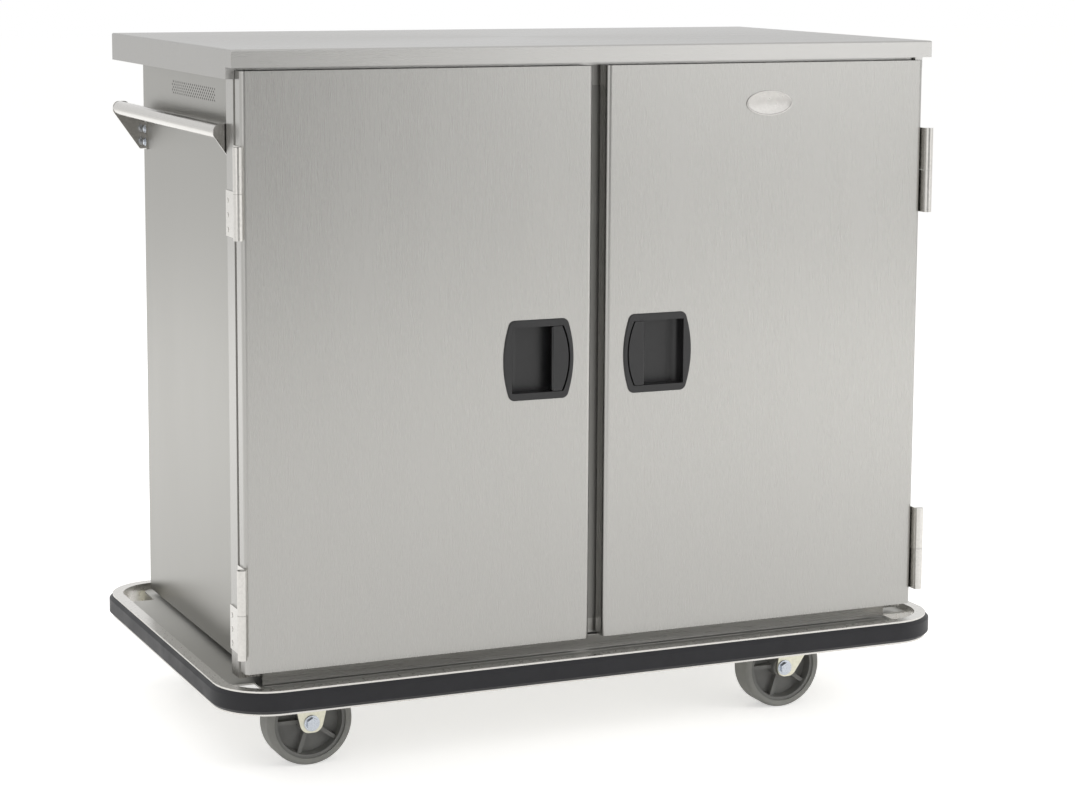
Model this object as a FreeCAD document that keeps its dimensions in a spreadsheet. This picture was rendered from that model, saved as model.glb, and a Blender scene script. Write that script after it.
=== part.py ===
"""Enclosed meal tray cart: a two-door cabinet on a bumpered deck with two fixed and two swivel casters.

The cart's own frame: the origin is on the floor under the centre of the deck, X runs to the right along
the doors, Y runs from the doors to the back and Z points up. All lengths are in millimetres.
"""
import FreeCAD, Part
import math
import os
import re
import Sketcher

Vector = FreeCAD.Vector

# ---------------------------------------------------------------------------------------------------------
# Sizes. Each row is a name, a value and what the value measures.
# ---------------------------------------------------------------------------------------------------------
SIZES = [
    ("base_length", 1379, "length over the bumper, along the doors"),
    ("base_depth", 838, "depth over the bumper, front to back"),
    ("base_corner", 100, "radius of the bumper's corners in plan"),
    ("bumper_reach", 6, "how far the bumper stands out of its rail"),
    ("bumper_bevel", 6, "bevel along the bumper's upper and lower edge"),
    ("bumper_bed", 9, "depth of the bumper inside its rail"),
    ("rail_height", 42, "height of the rail that holds the bumper"),
    ("rail_width", 20, "width of the rail's top flange"),
    ("rail_wall", 3, "wall of the rail"),
    ("rail_rise", 12, "height of the rail's top over the deck"),
    ("deck_over_wheel", 6.6, "height of the deck's top face over the wheels"),
    ("deck_sheet", 3, "thickness of the deck sheet"),
    ("notch_lap", 19, "how far the deck reaches past the start of the rail's corner, along the doors"),
    ("notch_spare", 11, "how far the deck stops short of the rail's corner, front to back"),
    ("notch_round", 20, "rounding where the deck meets the rail beside a cut-away corner"),
    ("bolster_width", 130, "width of the channel that carries a pair of casters"),
    ("bolster_sheet", 3, "sheet of that channel"),
    ("bolster_foot", 18, "width of the channel's feet"),
    ("bolster_height", 31, "height of the channel over the deck"),
    ("panel_sheet", 2, "sheet of the cabinet's panels"),
    ("panel_lift", 11, "gap between the deck and the side and back panels"),
    ("panel_flange", 14, "width of the flange turned in along a panel's lower edge"),
    ("panel_inset", 38, "how far a side panel stands in from the frame's side"),
    ("side_setback", 49, "distance of a front post's side inside the bumper's end"),
    ("frame_lift", 15, "gap between the deck and the posts"),
    ("post_depth", 39, "depth of a front post"),
    ("post_wall", 2, "wall of posts and rails"),
    ("sill_height", 40, "height of the sill"),
    ("header_height", 68, "height of the header"),
    ("mullion_width", 84, "width of the post between the doors"),
    ("back_setback", 63, "distance of the back panel in front of the bumper's back"),
    ("door_setback", 57, "distance of the doors' face behind the bumper"),
    ("door_lift", 30, "height of the doors' lower edge over the deck"),
    ("door_height", 1000, "height of a door"),
    ("door_thickness", 36.5, "thickness of a door"),
    ("door_gap", 26.6, "gap between the two doors"),
    ("door_edge", 0.7, "how far a door's hinge edge stands in from the post's side"),
    ("door_radius", 8, "radius of a door's upright edges"),
    ("door_sheet", 1.5, "sheet of a door"),
    ("door_return", 12, "width of the flange turned in round a door's back"),
    ("seal_gap", 1.5, "gap between a closed door and the frame"),
    ("seal_width", 10, "width of a door's seal"),
    ("seal_clearance", 0.4, "gap between a closed door's seal and the frame"),
    ("bead_inset", 70, "distance of the liner's raised bead from the door's edges"),
    ("bead_width", 14, "width of the liner's raised bead"),
    ("bead_rise", 3, "height of the liner's raised bead"),
    ("bead_corner", 14, "radius of the raised bead's corners, on its inner side"),
    ("cover_clearance", 5.5, "gap between the doors and the top cover"),
    ("fascia_height", 29.5, "height of the top cover's front edge"),
    ("skirt_height", 49, "height of the top cover's side and back edges"),
    ("skirt_start", 31, "distance of the side edges behind the cover's front"),
    ("cover_overhang", 15, "how far the top cover stands out at each side"),
    ("cover_lip", 1, "how far the top cover stands out in front of the doors"),
    ("cover_back", 19, "how far the top cover stands out behind the back panel"),
    ("cover_sheet", 2, "sheet of the top cover"),
    ("cover_radius", 3, "radius of the top cover's folded edges"),
    ("ceiling_drop", 45, "depth of the ceiling under the cover's top sheet"),
    ("vent_columns", 22, "upright vent slots in a row"),
    ("vent_rows", 5, "rows of vent slots"),
    ("vent_slot_width", 3, "width of a vent slot"),
    ("vent_slot_height", 3.4, "height of a vent slot"),
    ("vent_pitch", 12, "distance from one slot to the next along a row"),
    ("vent_row_pitch", 5, "distance from one row of slots to the next"),
    ("vent_drop", 77, "distance of the top row of vent slots under the cover's top"),
    ("vent_start", 187, "distance of the first vent slot behind the posts"),
    ("level_count", 7, "tray levels"),
    ("level_last", 114.9, "distance of the highest tray level under the ceiling"),
    ("level_first", 70, "height of the lowest tray level over the floor sheet"),
    ("upright_width", 40, "width of a rack upright"),
    ("upright_depth", 25, "how far a rack upright stands out of its wall"),
    ("upright_inset", 45, "distance of the end uprights from the rack's ends"),
    ("runner_end_gap", 21, "gap between the tray runners and the back panel"),
    ("runner_setback", 18, "distance of the runners behind the posts"),
    ("runner_ledge", 22, "width of the ledge that a tray slides on"),
    ("runner_height", 16, "height of a runner's upright leg"),
    ("runner_sheet", 2, "sheet of a runner"),
    ("handle_radius", 12.7, "radius of the push handle's tube"),
    ("handle_wall", 2, "wall of the push handle's tube"),
    ("handle_gap", 33.3, "finger gap between the side panel and the tube"),
    ("handle_drop", 137.5, "distance of the push handle under the cover's top"),
    ("handle_start", 5, "distance of the front bracket behind the post"),
    ("bracket_sheet", 3, "sheet of a handle bracket"),
    ("bracket_foot", 26, "width of a bracket's flange on the panel"),
    ("bracket_low", 76.5, "depth of a bracket's lower end under the tube's axis"),
    ("bracket_high", 25.5, "depth of a bracket's flange top under the tube's axis"),
    ("bracket_toe", 9, "width of a bracket's lower end"),
    ("bracket_brow", 6.35, "depth of a bracket's outer corner under the tube's axis"),
    ("bracket_crown", 11.4, "rounding of a bracket's upper corners, round the tube's end"),
    ("bracket_round", 3, "rounding of a bracket's lower corner"),
    ("bracket_heel", 1.4, "rounding of a bracket's corners on the panel"),
    ("knuckle_radius", 8, "radius of a hinge knuckle"),
    ("knuckle_side_gap", 0.2, "gap between a hinge knuckle and the frame's side"),
    ("knuckle_lead", 1, "gap between a hinge knuckle and the doors' face"),
    ("hinge_length", 152, "length of a hinge"),
    ("hinge_rise", 29, "height of the lower hinge over the door's lower edge"),
    ("hinge_drop", 121, "distance of the upper hinge under the door's upper edge"),
    ("leaf_sheet", 3, "sheet of a hinge leaf"),
    ("leaf_back", 3, "distance of the frame leaf's end in front of the post's back"),
    ("door_leaf_length", 32, "length of the leaf on the door's edge"),
    ("hinge_pin_radius", 4.5, "radius of a hinge pin"),
    ("hinge_fit", 0.05, "radial clearance of a hinge pin in the door's knuckle"),
    ("hinge_washer", 0.5, "gap between the two halves of a hinge"),
    ("pin_point", 1.5, "bevel on a hinge pin's upper end"),
    ("pin_spare", 2, "depth of a hinge's bore over the pin's upper end"),
    ("latch_rise", 500, "height of the latches' centre over the door's lower edge"),
    ("latch_from_gap", 99.7, "distance of a latch's centre from the door's free edge"),
    ("latch_tall", 139, "height of a latch plate"),
    ("latch_wide", 131, "width of a latch plate across its bowed sides"),
    ("latch_end_width", 106, "width of a latch plate at its ends"),
    ("latch_corner", 12, "radius of a latch plate's corners"),
    ("latch_rim", 2.5, "how far a latch plate stands out of the door"),
    ("latch_soft", 2, "rounding of a latch plate's front edge"),
    ("latch_border", 5, "how far a latch plate overlaps the door's skin"),
    ("latch_depth", 25, "depth of a latch's well behind the door's face"),
    ("latch_wall", 2, "wall of a latch's well"),
    ("well_tall", 114, "height of a latch's well"),
    ("well_far", 50, "distance of the well's far side from the latch's centre"),
    ("well_sweep", 18, "radius of the well's floor along its far side"),
    ("recess_depth", 16, "depth of the recess behind the paddle"),
    ("pin_from_center", 44, "distance of the paddle's pin from the latch's centre"),
    ("pin_set", 6.5, "depth of the pin behind the paddle's face"),
    ("lip_from_center", 27, "distance of the paddle's lip from the latch's centre"),
    ("paddle_sink", 0.5, "how far the paddle's face lies under the latch plate's"),
    ("paddle_sheet", 3, "thickness of the paddle"),
    ("paddle_gap", 2.8, "gap between the paddle and the bowed rim"),
    ("paddle_end_gap", 1, "gap between the paddle and the ends of the well"),
    ("lip_depth", 11, "depth of the paddle's lip"),
    ("pin_radius", 1.8, "radius of the paddle's pin"),
    ("pin_fit", 0.05, "radial clearance of the paddle on its pin"),
    ("barrel_radius", 4, "radius of the paddle's barrel"),
    ("barrel_tall", 60, "height of the paddle's barrel"),
    ("case_length", 60, "length of the bolt case on the door's back"),
    ("case_tall", 40, "height of the bolt case"),
    ("case_depth", 20, "depth of the bolt case behind the door"),
    ("case_gap", 4, "gap between the bolt case and the centre post"),
    ("bolt_tall", 16, "height of the bolt"),
    ("bolt_thick", 10, "thickness of the bolt"),
    ("bolt_throw", 10, "how far the bolt reaches into the centre post"),
    ("bolt_nose", 2.5, "flat on the bolt's end beside its bevel"),
    ("bolt_length", 48, "length of the bolt"),
    ("bolt_fit", 0.4, "gap round the bolt"),
    ("fixed_caster_inset", 183, "distance of the fixed casters inside the bumper's left end"),
    ("swivel_caster_inset", 240, "distance of the swivel casters' pivot inside the bumper's right end"),
    ("caster_inset", 145, "distance of the casters inside the bumper's front and back"),
    ("wheel_diameter", 152.4, "diameter of a wheel"),
    ("wheel_width", 50, "width of a wheel's tread"),
    ("tread_thickness", 12, "thickness of the rubber tread"),
    ("tread_round", 7, "rounding of the tread's shoulders"),
    ("rim_thickness", 6, "thickness of the wheel's rim"),
    ("rim_step", 3, "how far the rim stands in from the tread's sides"),
    ("hub_radius", 19, "radius of the wheel's hub"),
    ("hub_gap", 1, "gap between the hub and a fork leg"),
    ("web_thickness", 8, "thickness of the wheel's web"),
    ("spoke_count", 5, "ribs between the hub and the rim"),
    ("spoke_width", 7, "width of a rib"),
    ("spoke_depth", 32, "width of a rib along the axle"),
    ("axle_radius", 6, "radius of an axle bolt"),
    ("axle_fit", 0.05, "radial clearance of a wheel on its axle"),
    ("axle_head", 19, "width across the flats of an axle bolt's head"),
    ("axle_head_height", 8, "height of an axle bolt's head"),
    ("fork_sheet", 4.5, "sheet of a caster fork"),
    ("fork_gap", 2, "gap between a wheel and a fork leg"),
    ("fork_crown", 88, "length of a fork's crown"),
    ("fork_shoulder", 13, "depth of a fork's crown before its legs narrow"),
    ("fork_toe", 17, "half the width of a fork leg's lower end"),
    ("fork_toe_round", 16.6, "rounding of a fork leg's lower corners"),
    ("fork_neck", 17, "rounding where a fork leg narrows under the crown"),
    ("swivel_trail", 40, "distance of a swivel caster's axle behind its pivot"),
    ("plate_length", 114, "length of a caster's top plate"),
    ("plate_depth", 92, "depth of a caster's top plate"),
    ("plate_sheet", 5, "thickness of a caster's top plate"),
    ("plate_corner", 8.5, "radius of a top plate's corners"),
    ("race_radius", 36, "radius of a swivel caster's ball race"),
    ("race_height", 12, "height of a swivel caster's ball race"),
    ("race_bevel", 4, "bevel of the ball race's edges"),
    ("race_gap", 0.3, "gap between the ball race and the fork"),
    ("kingpin_radius", 8, "radius of a swivel caster's kingpin"),
    ("kingpin_head", 13, "radius of the kingpin's head"),
    ("kingpin_head_height", 5, "height of the kingpin's head"),
    ("kingpin_fit", 0.05, "radial clearance of a kingpin in its fork"),
    ("caster_clearance", 5, "gap between a caster and the edge of the deck's opening"),
]

# ---------------------------------------------------------------------------------------------------------
# Places that follow from the sizes.
# ---------------------------------------------------------------------------------------------------------
PLACES = {
    # deck and rail
    "deck_height": "wheel_diameter + deck_over_wheel",
    "rail_x": "base_length / 2 - bumper_reach",
    "rail_y": "base_depth / 2 - bumper_reach",
    "deck_x": "rail_x - rail_width",
    "deck_y": "rail_y - rail_width",
    "rail_top": "deck_height + rail_rise",
    "rail_bottom": "rail_top - rail_height",
    "notch_length": "base_corner - bumper_reach - rail_width - notch_lap",
    "notch_depth": "base_corner - bumper_reach - rail_width + notch_spare",
    # frame and cabinet
    "frame_x": "base_length / 2 - side_setback",
    "side_x": "frame_x - panel_inset",
    "door_front": "door_setback - base_depth / 2",
    "door_back": "door_front + door_thickness",
    "post_front": "door_back + seal_gap",
    "post_back": "post_front + post_depth",
    "back_y": "base_depth / 2 - back_setback",
    "door_bottom": "deck_height + door_lift",
    "door_top": "door_bottom + door_height",
    "cover_top": "door_top + cover_clearance + fascia_height",
    "body_top": "cover_top - cover_sheet",
    "ceiling_z": "body_top - ceiling_drop",
    "floor_height": "deck_height + bolster_height",
    "floor_top": "floor_height + panel_sheet",
    "panel_bottom": "deck_height + panel_lift",
    "frame_bottom": "deck_height + frame_lift",
    "sill_top": "frame_bottom + sill_height",
    "header_bottom": "body_top - header_height",
    "mullion_x": "mullion_width / 2",
    "runner_start": "post_back + runner_setback",
    "runner_length": "back_y - panel_sheet - runner_end_gap - (runner_start)",
    "level_span": "ceiling_z - (floor_top) - level_first - level_last",
    # doors
    "door_outer": "frame_x - door_edge",
    "door_inner": "door_gap / 2",
    "hinge_x": "frame_x + knuckle_side_gap + knuckle_radius",
    "hinge_y": "door_front - knuckle_lead - knuckle_radius",
    "hinge_lower": "door_bottom + hinge_rise",
    "hinge_upper": "door_top - hinge_drop - hinge_length",
    # latches
    "latch_height": "door_bottom + latch_rise",
    "latch_x": "door_inner + latch_from_gap",
    "pin_x": "latch_x - pin_from_center",
    "paddle_face": "door_front - latch_rim + paddle_sink",
    "pin_y": "paddle_face + pin_set",
    "lip_x": "latch_x - lip_from_center",
    "well_x": "latch_x + well_far",
    "hole_end": "latch_end_width / 2 - latch_border",
    "hole_mid": "latch_wide / 2 - latch_border",
    "hole_tall": "latch_tall - 2 * latch_border",
    "case_x": "mullion_x + case_gap",
    "case_y": "door_back + case_depth",
    "bolt_x": "mullion_x - bolt_throw",
    "bolt_y": "post_front + post_wall + bolt_fit + bolt_thick / 2",
    # push handle
    "handle_x": "side_x + handle_gap + handle_radius",
    "handle_height": "cover_top - handle_drop",
    "bracket_front": "post_back + handle_start",
    "bracket_back": "back_y - bracket_sheet",
    # casters
    "wheel_radius": "wheel_diameter / 2",
    "fixed_caster_x": "base_length / 2 - fixed_caster_inset",
    "swivel_caster_x": "base_length / 2 - swivel_caster_inset",
    "caster_y": "base_depth / 2 - caster_inset",
    "plate_bottom": "floor_height - bolster_sheet - plate_sheet",
    "race_bottom": "plate_bottom - race_height",
    "swivel_crown": "race_bottom - race_gap",
    "fork_inner": "wheel_width / 2 + fork_gap",
    "fork_outer": "fork_inner + fork_sheet",
    "core_radius": "wheel_radius - tread_thickness",
    "swivel_reach": "sqrt((fork_crown / 2)^2 + fork_outer^2)",
}

ALIASES = {name for name, _, _ in SIZES}

doc = FreeCAD.newDocument("MealTrayCart")
sheet = doc.addObject("Spreadsheet::Sheet", "Sizes")
for row, (name, value, meaning) in enumerate(SIZES, start=1):
    sheet.set(f"A{row}", meaning)
    sheet.set(f"B{row}", str(value))
    sheet.setAlias(f"B{row}", name)
doc.recompute()


def formula(text):
    """Write names of sizes and places as an expression on the sheet."""

    def expand(match):
        name = match.group(0)
        if name in PLACES:
            return "(" + formula(PLACES[name]) + ")"
        if name in ALIASES:
            return "Sizes." + name
        return name

    return re.sub(r"[a-z_]+", expand, str(text))


def number(text):
    """The value that a formula has now."""
    found = sheet.evalExpression(formula(text))
    return float(getattr(found, "Value", found))


def bind(thing, prop, text):
    """Tie a property of an object to a formula."""
    thing.setExpression(prop, formula(text))


# ---------------------------------------------------------------------------------------------------------
# Sketches
# ---------------------------------------------------------------------------------------------------------
def origin_part(body, role):
    """A plane or axis of a body's own origin."""
    return next(item for item in body.Origin.OriginFeatures if item.Role == role)


def new_body(label):
    body = doc.addObject("PartDesign::Body", label)
    body.Label = label
    return body


def new_sketch(body, name, plane, level):
    """A sketch on XY, XZ or YZ, at the stated level along the third axis."""
    sketch = body.newObject("Sketcher::SketchObject", name)
    sketch.AttachmentSupport = [(origin_part(body, plane + "_Plane"), "")]
    sketch.MapMode = "FlatFace"
    sign = "-1 * " if plane == "XZ" else ""
    bind(sketch, "AttachmentOffset.Base.z", f"{sign}({level})")
    return sketch


def fix_point(sketch, geometry, which, x, y):
    """Hold one point of a sketch at a formula's place."""
    for kind, text in (("DistanceX", x), ("DistanceY", y)):
        row = sketch.addConstraint(Sketcher.Constraint(kind, -1, 1, geometry, which, number(text)))
        bind(sketch, f"Constraints[{row}]", text)


def fix_radius(sketch, geometry, text):
    row = sketch.addConstraint(Sketcher.Constraint("Radius", geometry, number(text)))
    bind(sketch, f"Constraints[{row}]", text)


def rounding(before, corner, after, radius):
    """Centre and tangent points of an arc of a radius at a corner."""
    back = (before - corner).normalize()
    onward = (after - corner).normalize()
    half = back.getAngle(onward) / 2
    reach = radius / math.tan(half)
    center = corner + (back + onward).normalize() * (radius / math.sin(half))
    return center, corner + back * reach, corner + onward * reach


def add_outline(sketch, corners):
    """A closed outline through corners (x, y) or (x, y, radius), each held by its formulas."""
    points = [Vector(number(c[0]), number(c[1]), 0) for c in corners]
    count = len(corners)
    ends = []
    for i, corner in enumerate(corners):
        if len(corner) == 3:
            center, first, second = rounding(points[i - 1], points[i], points[(i + 1) % count], number(corner[2]))
            ends.append((first, second, center))
        else:
            ends.append((points[i], points[i], None))
    lines = []
    for i in range(count):
        line = Part.LineSegment(ends[i][1], ends[(i + 1) % count][0])
        lines.append(sketch.addGeometry(line, False))
    for i, corner in enumerate(corners):
        before = lines[i - 1]
        after = lines[i]
        if ends[i][2] is None:
            sketch.addConstraint(Sketcher.Constraint("Coincident", before, 2, after, 1))
            fix_point(sketch, after, 1, corner[0], corner[1])
            continue
        mark = sketch.addGeometry(Part.Point(points[i]), True)
        fix_point(sketch, mark, 1, corner[0], corner[1])
        sketch.addConstraint(Sketcher.Constraint("PointOnObject", mark, 1, before))
        sketch.addConstraint(Sketcher.Constraint("PointOnObject", mark, 1, after))
        add_corner_arc(sketch, ends[i], before, after, corner[2])


def add_corner_arc(sketch, ends, before, after, radius):
    """The arc that joins two lines at a rounded corner."""
    first, second, center = ends
    turn = (first - center).cross(second - center).z
    start, stop = (first, second) if turn > 0 else (second, first)
    circle = Part.Circle(center, Vector(0, 0, 1), (first - center).Length)
    low = math.atan2(start.y - center.y, start.x - center.x)
    high = math.atan2(stop.y - center.y, stop.x - center.x)
    if high < low:
        high += 2 * math.pi
    arc = sketch.addGeometry(Part.ArcOfCircle(circle, low, high), False)
    at_first, at_second = (1, 2) if turn > 0 else (2, 1)
    sketch.addConstraint(Sketcher.Constraint("Tangent", before, 2, arc, at_first))
    sketch.addConstraint(Sketcher.Constraint("Tangent", arc, at_second, after, 1))
    fix_radius(sketch, arc, radius)


def add_circle(sketch, x, y, radius):
    center = Vector(number(x), number(y), 0)
    circle = sketch.addGeometry(Part.Circle(center, Vector(0, 0, 1), number(radius)), False)
    fix_point(sketch, circle, 3, x, y)
    fix_radius(sketch, circle, radius)


def rectangle(x0, x1, y0, y1, radius=None):
    """Corners of a rectangle, rounded when a radius is given."""
    corners = [(x0, y0), (x1, y0), (x1, y1), (x0, y1)]
    if radius is None:
        return corners
    return [corner + (radius,) for corner in corners]


def add_bowed(sketch, x, y, end_width, mid_width, height, corner):
    """A closed outline with straight ends, sides that bow out to a wider middle and rounded corners."""
    center = Vector(number(x), number(y), 0)
    half_end, half_mid = number(f"({end_width}) / 2"), number(f"({mid_width}) / 2")
    half_tall, radius = number(f"({height}) / 2"), number(corner)
    sag = half_mid - half_end
    bow = (half_tall ** 2 + sag ** 2) / (2 * sag)
    across = half_mid - bow + math.sqrt((bow - radius) ** 2 - (half_tall - radius) ** 2)
    lean = math.atan2(half_tall - radius, across + bow - half_mid)
    pieces = []
    for turn in (1, -1):
        side = center + Vector(turn * (half_mid - bow), 0, 0)
        straight = [center + Vector(turn * -across, -turn * half_tall, 0),
                    center + Vector(turn * across, -turn * half_tall, 0)]
        start = 0 if turn > 0 else math.pi
        pieces.append(Part.LineSegment(*straight))
        for middle, reach, low, high in (
            (center + Vector(turn * across, -turn * (half_tall - radius), 0), radius, -math.pi / 2, -lean),
            (side, bow, -lean, lean),
            (center + Vector(turn * across, turn * (half_tall - radius), 0), radius, lean, math.pi / 2),
        ):
            circle = Part.Circle(middle, Vector(0, 0, 1), reach)
            pieces.append(Part.ArcOfCircle(circle, start + low, start + high))
    rows = [sketch.addGeometry(piece, False) for piece in pieces]
    for i, row in enumerate(rows):
        sketch.addConstraint(Sketcher.Constraint("Tangent", row, 2, rows[(i + 1) % len(rows)], 1))
    for first, turn in ((0, "+"), (4, "-")):
        other = "-" if turn == "+" else "+"
        line, low_arc, side_arc, high_arc = rows[first:first + 4]
        next_line = rows[(first + 4) % len(rows)]
        for arc in (low_arc, high_arc):
            fix_radius(sketch, arc, corner)
        for level, straight in ((other, line), (turn, next_line)):
            x_text, y_text = f"({x}) {turn} ({end_width}) / 2", f"({y}) {level} ({height}) / 2"
            mark = sketch.addGeometry(Part.Point(Vector(number(x_text), number(y_text), 0)), True)
            fix_point(sketch, mark, 1, x_text, y_text)
            sketch.addConstraint(Sketcher.Constraint("PointOnObject", mark, 1, straight))
            sketch.addConstraint(Sketcher.Constraint("PointOnObject", mark, 1, side_arc))
        x_text = f"({x}) {turn} ({mid_width}) / 2"
        mark = sketch.addGeometry(Part.Point(Vector(number(x_text), number(y), 0)), True)
        fix_point(sketch, mark, 1, x_text, y)
        sketch.addConstraint(Sketcher.Constraint("PointOnObject", mark, 1, side_arc))


def add_half_bowed(sketch, straight, end, middle, y, height):
    """An outline with one straight side and one side that bows out past its ends."""
    x0, x1, x2 = number(straight), number(end), number(middle)
    low, level, high = number(f"({y}) - ({height}) / 2"), number(y), number(f"({y}) + ({height}) / 2")
    bottom = sketch.addGeometry(Part.LineSegment(Vector(x0, low, 0), Vector(x1, low, 0)), False)
    top = sketch.addGeometry(Part.LineSegment(Vector(x0, high, 0), Vector(x1, high, 0)), False)
    side = sketch.addGeometry(Part.LineSegment(Vector(x0, low, 0), Vector(x0, high, 0)), False)
    ends = [Vector(x1, low, 0), Vector(x1, high, 0)]
    if x2 < x0:
        ends.reverse()
    bow = sketch.addGeometry(Part.Arc(ends[0], Vector(x2, level, 0), ends[1]), False)
    at_low, at_high = (1, 2) if x2 > x0 else (2, 1)
    sketch.addConstraint(Sketcher.Constraint("Coincident", side, 1, bottom, 1))
    sketch.addConstraint(Sketcher.Constraint("Coincident", side, 2, top, 1))
    sketch.addConstraint(Sketcher.Constraint("Coincident", bow, at_low, bottom, 2))
    sketch.addConstraint(Sketcher.Constraint("Coincident", bow, at_high, top, 2))
    for line, sign in ((bottom, "-"), (top, "+")):
        edge = f"({y}) {sign} ({height}) / 2"
        fix_point(sketch, line, 1, straight, edge)
        fix_point(sketch, line, 2, end, edge)
    mark = sketch.addGeometry(Part.Point(Vector(x2, level, 0)), True)
    fix_point(sketch, mark, 1, middle, y)
    sketch.addConstraint(Sketcher.Constraint("PointOnObject", mark, 1, bow))


# ---------------------------------------------------------------------------------------------------------
# Features
# ---------------------------------------------------------------------------------------------------------
def draw(sketch, loops):
    """Draw the loops: lists of corners are outlines, tuples of three are circles."""
    for loop in loops:
        if isinstance(loop, tuple):
            add_circle(sketch, *loop)
        else:
            add_outline(sketch, loop)


def raise_sketch(body, sketch, name, plane, length):
    """Pad a sketch towards +X, +Y or +Z."""
    feature = body.newObject("PartDesign::Pad", name)
    feature.Profile = sketch
    feature.Reversed = plane == "XZ"
    bind(feature, "Length", length)
    return feature


def add_slab(body, name, plane, start, length, loops):
    """Material between a level and a level further along X, Y or Z."""
    sketch = new_sketch(body, name + "_outline", plane, start)
    draw(sketch, loops)
    return raise_sketch(body, sketch, name, plane, length)


def cut_sketch(body, sketch, name, plane, length):
    """Pocket a sketch towards +X, +Y or +Z and make sure that it takes material away."""
    doc.recompute()
    before = body.Shape.Volume
    feature = body.newObject("PartDesign::Pocket", name)
    feature.Profile = sketch
    feature.Reversed = plane != "XZ"
    bind(feature, "Length", length)
    doc.recompute()
    if not body.Shape.Volume < before:
        raise ValueError(f"{body.Label}: {name} cuts nothing")
    return feature


def cut_slab(body, name, plane, start, length, loops):
    """A cut between a level and a level further along X, Y or Z."""
    sketch = new_sketch(body, name + "_outline", plane, start)
    draw(sketch, loops)
    return cut_sketch(body, sketch, name, plane, length)


def revolve(body, name, plane, axis, corners):
    """Turn an outline once round a sketch axis."""
    sketch = new_sketch(body, name + "_section", plane, "0")
    draw(sketch, [corners])
    feature = body.newObject("PartDesign::Revolution", name)
    feature.Profile = sketch
    feature.ReferenceAxis = (sketch, [axis])
    feature.Angle = 360
    return feature


def polar(body, source, role, count):
    """Repeat a feature round an axis of the body's origin."""
    doc.recompute()
    pattern = body.newObject("PartDesign::PolarPattern", source.Name + "_round")
    pattern.Originals = [source]
    pattern.Axis = (origin_part(body, role), [""])
    pattern.Angle = 360
    bind(pattern, "Occurrences", count)
    body.Tip = pattern
    return pattern


def in_line(body, source, name, role, length, count):
    """Repeat a feature along an axis of the body's origin."""
    doc.recompute()
    pattern = body.newObject("PartDesign::LinearPattern", name)
    pattern.Originals = [source]
    pattern.Direction = (origin_part(body, role), [""])
    bind(pattern, "Length", length)
    bind(pattern, "Occurrences", count)
    body.Tip = pattern
    return pattern


def round_edges(body, name, radius, chosen, kind="PartDesign::Fillet"):
    """Fillet or chamfer the edges that a test picks from the body's present shape."""
    doc.recompute()
    base = body.Tip
    picked = [f"Edge{i}" for i, edge in enumerate(base.Shape.Edges, start=1) if chosen(edge)]
    feature = body.newObject(kind, name)
    feature.Base = (base, picked)
    bind(feature, "Radius" if kind.endswith("Fillet") else "Size", radius)
    return feature


def place(body, x, y, z):
    """Set a body down at a place in the cart's frame."""
    for axis, text in (("x", x), ("y", y), ("z", z)):
        bind(body, f"Placement.Base.{axis}", text)


def sided(side, corners):
    """Corners for the right side (+1), or mirrored for the left side (-1)."""
    return [(f"{side} * ({c[0]})",) + tuple(c[1:]) for c in corners]


def near(value, text, slack=0.01):
    """Whether a measured value stands at a formula's place."""
    return abs(value - number(text)) < slack


# ---------------------------------------------------------------------------------------------------------
# Deck, rail and bumper
# ---------------------------------------------------------------------------------------------------------
def ring_loop(inward):
    """The base's rounded outline, a distance inward from the bumper's face."""
    half_x = f"base_length / 2 - ({inward})"
    half_y = f"base_depth / 2 - ({inward})"
    return rectangle(f"-({half_x})", half_x, f"-({half_y})", half_y, f"base_corner - ({inward})")


def build_rail():
    """A channel rail bent round the base, open outwards to take the bumper."""
    body = new_body("perimeter_rail")
    inner = "bumper_reach + rail_width"
    add_slab(body, "rail", "XY", "rail_bottom", "rail_height", [ring_loop("bumper_reach"), ring_loop(inner)])
    bed = "bumper_reach + bumper_bed"
    cut_slab(
        body, "channel", "XY", "rail_bottom + rail_wall", "rail_height - 2 * rail_wall",
        [ring_loop("0"), ring_loop(bed)],
    )
    wall = f"{inner} - rail_wall"
    cut_slab(
        body, "underside", "XY", "rail_bottom", "rail_height - rail_wall",
        [ring_loop(f"{bed} + rail_wall"), ring_loop(wall)],
    )


def build_bumper():
    """The vinyl bumper pressed into the rail, with bevelled edges."""
    body = new_body("vinyl_bumper")
    bed = "bumper_reach + bumper_bed"
    low = "rail_bottom + rail_wall"
    tall = "rail_height - 2 * rail_wall"
    add_slab(body, "bumper", "XY", low, tall, [ring_loop("0"), ring_loop(bed)])
    doc.recompute()
    outer = number("base_length + base_depth") / 2

    def rim(edge):
        box = edge.BoundBox
        level = near(box.ZMin, low) and near(box.ZMax, low) or near(box.ZMin, f"{low} + {tall}")
        flat = box.ZLength < 0.01
        middle = edge.valueAt((edge.FirstParameter + edge.LastParameter) / 2)
        sample = abs(middle.x) + abs(middle.y)
        on_side = near(abs(middle.x), "base_length / 2") or near(abs(middle.y), "base_depth / 2")
        on_corner = near(sample, f"{outer} - base_corner * (2 - sqrt(2))", 0.5)
        return level and flat and (on_side or on_corner)

    round_edges(body, "bevel", "bumper_bevel", rim, "PartDesign::Chamfer")


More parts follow.
